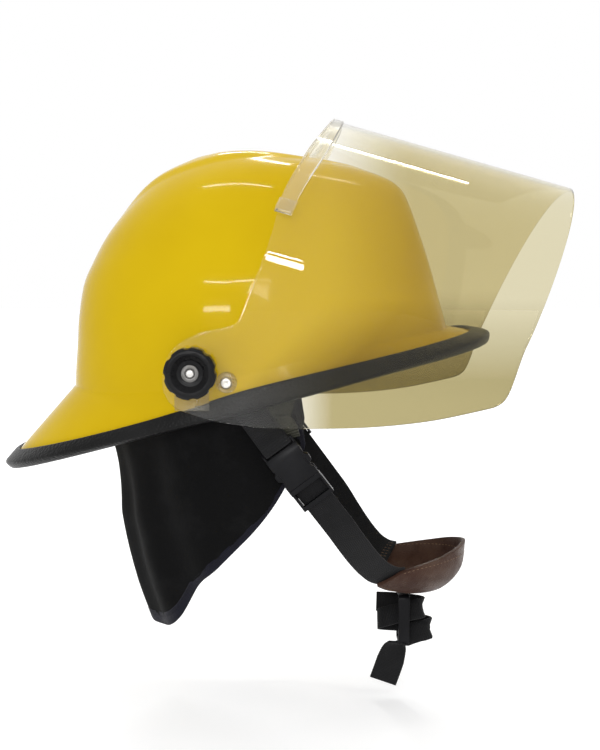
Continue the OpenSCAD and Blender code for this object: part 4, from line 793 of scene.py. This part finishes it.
def makeTail():
    size = {"drop": 2.3, "inKeeper": 14.4, "free": 19}
    path = [[101, 7, -282], [110, 6, -282], [120, 5.2, -282.6], [128, 4.4, -283.4],
            [132.2, 2.6, -284], [133.4, 0, -284.4], [132, -2.6, -285], [126, -4.2, -286],
            [116, -4.4, -288], [107, -3.8, -290.6], [102.6, -1.6, -292.4], [102.2, 1.4, -294],
            [106, 4, -295.2], [114, 5, -296], [124, 5, -297], [133, 4.2, -298.2],
            [137.8, 2.6, -299], [139, 0, -299.6], [137.6, -2.6, -300.4], [131, -4, -301.8],
            [123, -4.2, -304], [117, -3.8, -308.6], [113.4, -3.2, -315.4], [111, -2.6, -323],
            [108.4, -2, -331], [105.6, -1.6, -339]]
    path = [Vector(p) - Vector((0, 0, size["drop"])) for p in path]
    spread = [clamp((i - size["free"]) / 4) for i in range(len(path))]
    folded = Vector((0, 0.45, 0.9))
    sides = [unit((0, 0.55, 0.84)) if i < 9 else unit(lerp(folded, Vector((1, 0, 0)), k))
             for i, k in enumerate(spread)]
    widths = [lerp(size["inKeeper"], strap["width"], k) for k in spread]
    obj = strapSkin("strapTail", path, sides, widths, strap["thick"])
    dress(obj, blackWeb, "black_web", "strap_tail")
    print("strap tail made")


# neck curtain
hem = [[50.7, -73.5, -160.8], [35.5, -72, -189.6], [13.4, -74.5, -219.3], [-8.2, -75, -240.8],
       [-24, -71, -255], [-37, -61, -279], [-49, -46, -289], [-58, -24, -291], [-62.4, 0, -287]]
curtain = {"thick": 2.0, "fold": 2.6, "wide": 260.0, "deep": 130.0, "top": 1.4, "sideTop": 1.02,
           "sideDrop": 7.0, "offset": 5.3, "shift": 12.5, "held": 0.6, "front": 82.0,
           "corner": 9.0, "waves": 1500, "waveFrom": 40, "belly": 8.5, "dip": 2.5, "bellyEnd": 0.55}


def heldLess(a):
    # from nought on the hook strip to one at the free fronts
    return ease((abs(a) - curtain["held"] - 0.02) / 0.18)


def clothAt(a, h):
    # a runs round the neck from one front to the other as -1 to 1, and h down from 0 to 1
    k = heldLess(a)
    q = lerp(180.0, curtain["front"], abs(a))
    top = skinIn(lerp(curtain["top"], curtain["sideTop"], k), -q if a < 0 else q,
                 curtain["offset"] + curtain["shift"] * k)
    p = Vector(worn(top - Vector((0, 0, curtain["sideDrop"] * k))))
    low = along(hem, (1 - abs(a)) * 8)
    low = Vector((low.x, low.y if a < 0 else -low.y, low.z))
    bend = h * h * (1.6 - 0.6 * h)
    base = Vector((lerp(p.x, low.x, h), lerp(p.y, low.y, lerp(h, bend, 0.5)), lerp(p.z, low.z, h)))
    side = unit((-(base.x + 5) * 0.6, -base.y, 0))
    inward = unit((-base.x, -base.y * 0.6, 0))
    wave = cosSin(abs(a) * curtain["waves"] + curtain["waveFrom"])[0] * (1 - abs(a) ** 8)
    fold = curtain["fold"] * min(h * 1.6, 1) * (wave + 1)
    end = curtain["bellyEnd"]
    if h < end:
        belly = curtain["belly"] * math.sin(math.pi * h / end)
    else:
        belly = -curtain["dip"] * math.sin(math.pi * (h - end) / (1 - end))
    return base + side * fold + inward * belly * (1 - abs(a) ** 1.5)


def clothNormal(a, h):
    a0, a1, h0, h1 = max(a - 0.02, -1), min(a + 0.02, 1), max(h - 0.04, 0), min(h + 0.04, 1)
    return unit((clothAt(a1, h) - clothAt(a0, h)).cross(clothAt(a, h1) - clothAt(a, h0)))


def edgeRun(t):
    # along the bound edge: down one front, round the hem and up the other, with inward direction
    wide, deep, r = curtain["wide"], curtain["deep"], curtain["corner"]
    down, turn, low = deep - r, math.pi / 2 * r, wide - r
    whole = down + turn + low
    s, sign = 2 * whole * t, -1
    if s > whole:
        s, sign = 2 * whole - s, 1
    if s < down:
        return (sign * wide, s), (-sign, 0)
    if s < down + turn:
        c, d = math.cos((s - down) / r), math.sin((s - down) / r)
        return (sign * (low + r * c), down + r * d), (-sign * c, -d)
    return (sign * (whole - s), deep), (0, -1)


def bindingAt(t, x, lift):
    (a, h), way = edgeRun(t)
    a, h = (a + way[0] * x) / curtain["wide"], (h + way[1] * x) / curtain["deep"]
    a, h = clamp(a, -1), clamp(h)
    return clothAt(a, h) + clothNormal(a, h) * lift


def makeCurtain():
    size = {"inset": 2.0, "crease": 0.35, "tape": 0.6, "lap": 7.0, "seam": 5.2, "stitch": 2.3,
            "pitch": 3.2, "thread": 0.4, "fullness": (1.12, 1.3)}
    side, deep = 1 - size["inset"] / curtain["wide"], 1 - size["inset"] / curtain["deep"]

    def place(s, t):
        a, h = side * (2 * s - 1), deep * t
        fine = noise.fractal(Vector((a * 9, h * 5, 3.1)), 1.0, 2.0, 4)
        return clothAt(a, h) + clothNormal(a, h) * size["crease"] * fine
    obj = gridSkin("neckCurtain", place, 200, 44, (2 * curtain["wide"], curtain["deep"]))
    thicken(obj, curtain["thick"], 1.0 if outwardAt(obj) < 0 else -1.0, 0.4, 2)
    dress(obj, curtainBlack, "curtain_cloth", "neck_curtain")
    low, high = -curtain["thick"] - size["tape"] - 0.05, 0.05
    profile = [(size["lap"], high), (4.0, high + 0.1), (1.4, high + 0.15), (0.3, high - 0.1),
               (0.0, high - 0.7), (0.0, low + 1.3), (0.3, low + 0.7), (1.4, low + 0.45),
               (4.0, low + 0.5), (size["lap"], low + 0.6)]

    def tapeAt(s, t):
        k = s * (len(profile) - 1)
        i = min(int(k), len(profile) - 2)
        return bindingAt(t, lerp(profile[i][0], profile[i + 1][0], k - i),
                         lerp(profile[i][1], profile[i + 1][1], k - i))
    tape = gridSkin("curtainBinding", tapeAt, 18, 420, (16, 780))
    thicken(tape, size["tape"], 1.0 if outwardAt(tape) > 0 else -1.0, even=False)
    dress(tape, navyTape, "binding_navy", "curtain_binding")
    spots = []
    for lift, sign in ((size["tape"] + 0.12, 1), (low - 0.05, -1)):
        spots += runOf(lambda t, lift=lift: bindingAt(t, size["seam"], lift), lambda t, sign=sign:
                       bindingAt(t, size["seam"], sign) - bindingAt(t, size["seam"], 0),
                       size["pitch"])
    rows = stitches("bindingStitches", spots, size["stitch"], size["thread"], blackThread,
                    "binding_navy")
    width = sum((clothAt(a / 40, 0.5) - clothAt((a - 1) / 40, 0.5)).length for a in range(-39, 41))


def outwardAt(obj):
    # whether a hung sheet's faces look away from the wearer, at its middle
    return sum(p.normal.x * (p.center.x - 0.02) + p.normal.y * p.center.y
               for p in obj.data.polygons)


def makeHookStrip():
    size = {"low": 1.05, "high": 1.5, "near": 3.4, "thick": 1.6}

    def place(s, t):
        a = curtain["held"] * (1 - 2 * t)
        q = lerp(180.0, curtain["front"], abs(a))
        return worn(skinIn(lerp(size["low"], size["high"], s), q if t < 0.5 else 360 - q,
                           size["near"] + size["thick"] / 2))
    obj = thicken(gridSkin("curtainHookStrip", place, 6, 120, (14, 300)), size["thick"], 0.0, 0.3)
    dress(obj, hookTape, "hook_tape", "curtain_hook_strip")
    print("hook strip made")


# cradle, pads and liner inside
inside = {"ringAt": 2.45, "ringTall": 11 / 42, "ringOff": 3.25, "ringThick": 2.4, "webWide": 19.0,
          "webThick": 1.2, "ringGap": 1.3, "webGap": 0.25, "padWide": 74.0, "padThick": 4.0,
          "padGap": 0.2, "liner": 15.0, "linerGap": 0.7, "linerRoom": 11, "back": 9.0}


def makeCradle():
    directions = (38, 90, 142)
    off = inside["ringOff"] + inside["ringThick"] + inside["ringGap"] + inside["webThick"] / 2
    level, tall = inside["ringAt"], inside["ringTall"]

    def half(q, k):
        # from behind the ring up to the crown; k bands lie below this one
        a, b = skinIn(level - tall * 0.5, q, off), skinIn(level + tall, q, off)
        step = inside["webThick"] + inside["webGap"]
        top = inside["padThick"] + inside["padGap"] + inside["webThick"] / 2 + k * step
        far = math.hypot(b.x + inside["back"], b.y)
        way = ((b.x + inside["back"]) / far, b.y / far)
        wide = far - inside["liner"] - inside["linerRoom"]
        slim = inside["padWide"] / 2 + 1
        path = [a, b]
        for g, drop in ((1, -56), (0.92, -42), (0.78, -28), (0.58, -16.5), (0.36, -8.5),
                        (0.14, -2.6), (0, 0)):
            reach = lerp(slim, wide, g)
            path.append(Vector((way[0] * reach - inside["back"], way[1] * reach, drop + top)))
        return path

    def ringWay(q):
        return unit(skin(level, q + 3) - skin(level, q - 3))
    for k, q in enumerate(directions):
        one, two = half(q, k), half(q + 180, k)
        path = one + [Vector((-inside["back"], 0, one[-1].z))] + two[::-1]
        d = unit((one[1].x - two[1].x, one[1].y - two[1].y, 0))
        sides = [Vector((-d.y, d.x, 0))] * len(path)
        sides[:2], sides[-2:] = [ringWay(q)] * 2, [-ringWay(q + 180)] * 2
        obj = strapSkin("cradleBand%d" % (k + 1), [worn(p) for p in path],
                        [worn(v) for v in sides], inside["webWide"], inside["webThick"], 0.22)
        dress(obj, cradleWeb, "cradle_web", *([] if k else ["cradle_webbing"]))
    print("cradle made")


def cappedSkin(name, rings, columns, sharp, material, slot, node, body="helmet"):
    # rings of points skinned in turn, with both ends closed
    bm = bmesh.new()
    ringSkin(bm, rings, columns)
    bmesh.ops.holes_fill(bm, edges=bm.edges, sides=0)
    bmesh.ops.recalc_face_normals(bm, faces=bm.faces)
    return dress(finishMesh(name, bm, sharp), material, slot, node, body=body)


def makePads():
    # profiles run round each pad's edge, as reach from its middle and height
    crown = [(6, 0.15), (14, 0.05), (22, 0.1), (23.3, 0.75), (24.6, 0.1), (30, 0.1), (34, 0.5),
             (36.2, 1.3), (37, 2.2), (36.4, 3.1), (34, 3.7), (28, 3.95), (16, 4.0), (6, 4.0)]
    nape = [(0.62, 0.0), (0.9, 0.05), (0.985, 0.7), (1.0, 1.8), (0.99, 3.0), (0.95, 3.9),
            (0.86, 4.5), (0.72, 4.75), (0.7, 4.45), (0.66, 4.75), (0.4, 5.0), (0.12, 5.05)]
    napeSize = {"at": -102.8, "level": -98.0, "halfWide": 18.0, "halfTall": 15.0, "square": 0.42}

    def onCrown(r, q):
        c, s = cosSin(q)
        return worn((r[0] * c - inside["back"], r[0] * s, r[1]))

    def onNape(r, q):
        c, s = cosSin(q)
        wide = bulge(c, napeSize["square"]) * napeSize["halfWide"] * r[0]
        tall = bulge(s, napeSize["square"]) * napeSize["halfTall"] * r[0]
        return worn((napeSize["at"] + r[1], wide, napeSize["level"] + tall))
    for name, place, profile, columns, node, soft in (
            ("crownPad", onCrown, crown, 96, "crown_pad", 0.5),
            ("napePad", onNape, nape, 72, "nape_pad", 0.6)):
        rings = [lambda q, r=r, place=place: place(r, q) for r in profile]
        cappedSkin(name, rings, columns, 70.0, padCloth, "pad_cloth", node)
    print("pads made")


def makeSweatbands():
    size = {"long": 98.0, "wide": 79.0, "level": -98.0, "from": 11.2, "to": 117.8, "arc": 107.0,
            "puff": 6.5, "puffDepth": 0.1, "inset": -2.2, "halfThick": 1.95, "halfTall": 16.9,
            "endTaper": 26, "thinEnd": 0.35, "seam": 13.4, "seamFrom": 12, "seamTo": 117,
            "seamOff": -4.02, "pitch": 3.6, "stitch": 2.6, "thread": 0.5}

    def onBand(way, offset, height, sign):
        c, s = cosSin(way)
        return worn(((size["long"] + offset) * c - inside["back"],
                     sign * (size["wide"] + offset) * s, size["level"] + height))

    def onSeam(k, height, sign):
        return onBand(lerp(size["seamFrom"], size["seamTo"], k), size["seamOff"], height, sign)

    def inwards(k, sign):
        c, s = cosSin(lerp(size["seamFrom"], size["seamTo"], k))
        return worn((-c, -sign * s, 0))

    def section(r, q, sign):
        # r runs along the band and q round its section
        c, s = cosSin(q)
        slim = min(1.0, size["thinEnd"] + min(r, 1 - r) * size["endTaper"])
        puff = 1 - size["puffDepth"] * math.cos(r * size["arc"] * math.pi / size["puff"])
        offset = size["inset"] + size["halfThick"] * bulge(c, 0.7) * slim * puff
        tall = size["halfTall"] * bulge(s, 0.38) * (0.93 + 0.07 * slim)
        return onBand(lerp(size["from"], size["to"], r), offset, tall, sign)
    steps = [0, 0.006, 0.014, 0.025] + [0.04 + 0.92 * i / 110 for i in range(111)] + \
        [0.975, 0.986, 0.994, 1]
    for sign, word in ((1, "left"), (-1, "right")):
        body = "headband_" + word
        rings = [lambda q, r=r, sign=sign: section(r, q, sign) for r in steps]
        cappedSkin(word + "Sweatband", rings, 32, 70.0, sweatLeather, "sweat_leather",
                             "sweatband_" + word, body)
        spots = []
        for height in (-size["seam"], size["seam"]):
            spots += runOf(lambda k, height=height, sign=sign: onSeam(k, height, sign),
                           lambda k, sign=sign: inwards(k, sign), size["pitch"])
        stitches(word + "SweatStitches", spots, size["stitch"], size["thread"], tanThread,
                 "sweat_leather", body)
    print("sweatbands made")


def makeLiner():
    steps = [4.2 + 0.21 * i for i in range(31)]
    outer = shell["wall"] + inside["linerGap"]
    inner = outer + inside["liner"]
    rings = [lambda q, t=t: worn(skinIn(t, q, outer)) for t in steps[::-1]]
    rings += [lambda q, t=t: worn(skinIn(4.24, q, lerp(outer, inner, t))) for t in (0.06, 0.94)]
    rings += [lambda q, t=t: worn(skinIn(t, q, inner)) for t in steps]
    cappedSkin("impactLiner", rings, 120, 45.0, linerFoam, "liner_foam", "impact_liner")
    print("liner made")


# visor sheet: a bent sheet drawn in the pivot's own frame
visor = {"radius": 113.0, "thick": 2.2, "reach": 186.5, "start": 44.4, "length": 169.6,
         "slope": 15.8, "sides": 26.25, "cell": 2.3, "endCell": 0.35, "strip": 8.0, "hole": 3.3}
visorMid = visor["reach"] - visor["radius"]
visorEnd = visor["start"] + 1.5 + visor["length"]
stripSteps = [[-19.3, -72.7, 1], [-16.9, -54.3, 1.2], [-11.6, -33.6, 1.3], [-9.4, -25.8, 1.3],
              [-5.1, -14.5, 1.1], [0, 0, 0.8], [1.3, 3.5, 0.75]]
rearLine = [[22.3, -26.3], [12, -26.2], [2.4, -25.6], [-3.4, -24.6], [-9.1, -21.8],
            [-13.6, -16.6], [-16.6, -9.6], [-17.6, -2.1], [-16.8, 6.6], [-13.2, 14.4],
            [-7.5, 20.6], [-1, 25.4], [6.75, 29.8], [11, 32], [15.5, 34.4], [19.4, 38.6],
            [21, 46.9], [22, 60.3], [24.2, 79.2], [25.1, 93.9], [25.4, 102.7]] + \
           [[visor["start"] + e[0], visor["reach"] + e[1]] for e in stripSteps]
frontLine = [[22.3, -26.3], [44.6, -23.6], [62, -19.8], [79.8, -15], [97, -10], [114.8, -4.4],
             [138, 4.2], [160.1, 13.9], [visorEnd - 27.3, 28.9], [visorEnd - 22.4, 32.3],
             [visorEnd - 19.2, 36.6], [visorEnd - 17.6, 43], [visorEnd - 16.9, 52],
             [visorEnd - 16, 69.8], [visorEnd - 13.1, 89.7], [visorEnd, visor["reach"] + 3]]


def fromPivot(p):
    # from the raised visor's own frame to the helmet as it is worn
    c, s = cosSin(visor["slope"] + shell["tilt"])
    return Vector(worn((pivotAt[0] + p[0] * c + p[2] * s, p[1], pivotAt[2] - p[0] * s + p[2] * c)))


def lineReader(line):
    fine = [along([Vector((*p, 0)) for p in line], i / 8) for i in range((len(line) - 1) * 8 + 1)]

    def read(z):
        for a, b in zip(fine, fine[1:]):
            if a.y <= z <= b.y:
                return lerp(a.x, b.x, (z - a.y) / max(b.y - a.y, 1e-6))
        return fine[0].x if z < fine[0].y else fine[-1].x
    return read


def aroundBend(s, off=0.0):
    # s is measured along the outer face from the front line; gives side and height
    r = visor["radius"]
    quarter = math.pi / 2 * r
    if abs(s) <= quarter:
        return (r + off) * math.sin(s / r), visorMid + (r + off) * math.cos(s / r)
    return math.copysign(r + off, s), visorMid - (abs(s) - quarter)


def makeVisor():
    rear, front = lineReader(rearLine), lineReader(frontLine)
    half = [0.0]
    whole = math.pi / 2 * visor["radius"] + visorMid + visor["sides"]
    while half[-1] < whole:
        # cells that get smaller towards the ends of the sheet
        left = whole - half[-1]
        half.append(half[-1] + clamp(left * 0.3, visor["endCell"], visor["cell"]))
    half[-1] = whole
    spots = [-s for s in reversed(half[1:])] + half
    count = len(spots) - 1

    def place(s, t):
        y, z = aroundBend(spots[round(t * count)])
        a, b = rear(z), front(z)
        return fromPivot((lerp(a, b, s), y, z))
    bm = bmesh.new()
    made = bmesh.ops.create_grid(bm, x_segments=84, y_segments=count, size=1.0)["verts"]
    for v in made:
        v.co = Vector(place((v.co.x + 1) / 2, (v.co.y + 1) / 2)) * mm
    centres = [fromPivot((0, y, 0)) * mm for y in (-visor["radius"], visor["radius"])]
    inner = [v for v in bm.verts if min((v.co - c).length for c in centres) < visor["hole"] * mm]
    bmesh.ops.delete(bm, geom=inner, context="VERTS")
    for v in bm.verts:
        for c in centres:
            if v.is_boundary and (v.co - c).length < visor["hole"] * mm * 2:
                v.co = c + unit(v.co - c) * visor["hole"] * mm
    up = sum(f.normal.z for f in bm.faces if f.calc_center_median().z > 0.03)
    if up < 0:
        bmesh.ops.reverse_faces(bm, faces=bm.faces)
    obj = thicken(finishMesh("visorSheet", bm, 80.0), visor["thick"], -1.0, 0.45, 2)
    dress(obj, visorClear, "clear_sheet", "visor", body="visor")
    print("visor made")


def makeStrip():
    size = {"skin": 1.2, "fit": 0.1, "slot": 0.12, "corner": 0.5, "round": 0.6}
    skinned, slot, corner, soft = size["skin"], size["slot"], size["corner"], size["round"]
    high, low = skinned + size["fit"], -visor["thick"] - skinned - size["fit"]
    edge = lineReader([[visor["start"] + e[0], visor["reach"] + e[1]] for e in stripSteps])
    wide = lineReader([[visor["strip"] * e[2], visor["reach"] + e[1]] for e in stripSteps])
    end = math.acos((visor["reach"] + stripSteps[0][1] - visorMid) / visor["radius"])

    def profile(w):
        return [(w, slot), (w, high - corner), (w - corner, high), (w * 0.5, high),
                (-soft, high), (-skinned, high - soft), (-skinned, low + soft), (-soft, low),
                (w * 0.5, low), (w - corner, low), (w, low + corner),
                (w, -visor["thick"] - slot), (-slot, -visor["thick"] - slot), (-slot, slot)]
    count = len(profile(1.0))

    def ring(turn):
        z = visorMid + visor["radius"] * math.cos(turn)
        spots = profile(wide(z))

        def place(q):
            x, lift = spots[round(q / 360 * count) % count]
            y, height = aroundBend(turn * visor["radius"], lift)
            return fromPivot((edge(z) + x, y, height))
        return place
    cappedSkin("visorEdgeStrip", [ring(end * (i / 60 - 1)) for i in range(121)], count, 30.0,
               stripClear, "clear_strip", "visor_edge_strip", "visor")
    print("edge strip made")


makeChinStrap()
makeChinCup()
makeTail()
makeCurtain()
makeHookStrip()
makeCradle()
makePads()
makeSweatbands()
makeLiner()
makeVisor()
makeStrip()

# pale floor, even soft light from all round, and slim tubes for the streaks
stage = {"floor": -0.352, "size": 14.0, "lift": 0.31, "high": 0.95, "low": 0.68}
floorBm = bmesh.new()
bmesh.ops.create_grid(floorBm, x_segments=2, y_segments=2, size=stage["size"] / 2)
floor = finishMesh("floor", floorBm)
floor.location.z = stage["floor"]
paleFloor, floorTree, floorShader = startMaterial("paleFloor", (0.86, 0.86, 0.86), 0.95,
                                                  Specular_IOR_Level=0.1)


def seenDirectly(tree):
    # one for rays that should see the pale background, nought for those that light the object
    ray = addNode(tree, "ShaderNodeLightPath").outputs
    either = calc(tree, "MAXIMUM", ray["Is Camera Ray"], ray["Is Glossy Ray"])
    return calc(tree, "MAXIMUM", either, ray["Is Transmission Ray"])


drive(floorTree, floorShader, Emission_Color=(1, 1, 1, 1),
      Emission_Strength=calc(floorTree, "MULTIPLY", seenDirectly(floorTree), stage["lift"]))
floor.data.materials.append(paleFloor)


def tube(name, first, last, radiance, width):
    # a slim lamp between two places, facing the helmet
    first, last = Vector(first), Vector(last)
    middle = (first + last) / 2
    data = bpy.data.lights.new(name, "AREA")
    data.shape = "RECTANGLE"
    data.size, data.size_y = (last - first).length, width
    data.energy = radiance * math.pi * data.size * width
    lamp = bpy.data.objects.new(name, data)
    scene.collection.objects.link(lamp)
    run = unit(last - first)
    back = middle + Vector((0, 0, 0.05))
    back = unit(back - run * back.dot(run))
    turn = Matrix((run, back.cross(run), back)).transposed().to_4x4()
    lamp.matrix_world = Matrix.Translation(middle) @ turn


def towards(spot, azimuth, height, reach=1.5):
    # a place in metres, seen from a spot in millimetres by its compass and height angles
    (c, s), (level, rise) = cosSin(azimuth), cosSin(height)
    return Vector(spot) * mm + reach * Vector((level * c, level * s, rise))


# both ends, radiance and width of each lamp, in metres
tubes = {"streakHigh": (towards((-18, -95, -48), -109, 16), towards((18, -98, -50), -85, 13),
                        50, 0.028),
         "streakLow": (towards((-16, -98, -66), -109, 3), towards((0, -99, -68), -96, 5),
                       40, 0.028),
         "streakFront": ((-0.03, -1.5, 0.205), (0.115, -1.5, 0.167), 46, 0.10),
         "streakCrown": ((-0.42, 2.95, 1.4), (0.09, 1.36, 1.4), 56, 0.05),
         "streakSide": ((-0.52, 0.435, 1.4), (-0.04, -0.02, 1.4), 42, 0.028),
         "streakTop": ((0.235, 0.57, 1.43), (0.69, 0.55, 1.33), 52, 0.045)}
for name, settings in tubes.items():
    tube(name, *settings)

world = bpy.data.worlds.new("paleWorld")
scene.world = world
world.use_nodes = True
sky = world.node_tree
sky.nodes.clear()
aim = addNode(sky, "ShaderNodeSeparateXYZ",
              Vector=addNode(sky, "ShaderNodeTexCoord").outputs["Generated"])
soft = addNode(sky, "ShaderNodeMapRange", {"clamp": True}, Value=aim.outputs["Z"], From_Min=-0.1,
               From_Max=0.9, To_Min=stage["low"], To_Max=stage["high"])
level = addNode(sky, "ShaderNodeMix", {"data_type": "FLOAT"})
for i, value in ((0, seenDirectly(sky)), (2, soft.outputs["Result"]), (3, 1.0)):
    feed(sky, level.inputs[i], value)
paper = addNode(sky, "ShaderNodeBackground", Color=(1, 1, 1, 1), Strength=level.outputs[0])
addNode(sky, "ShaderNodeOutputWorld", Surface=paper.outputs[0])
print("stage and light set")
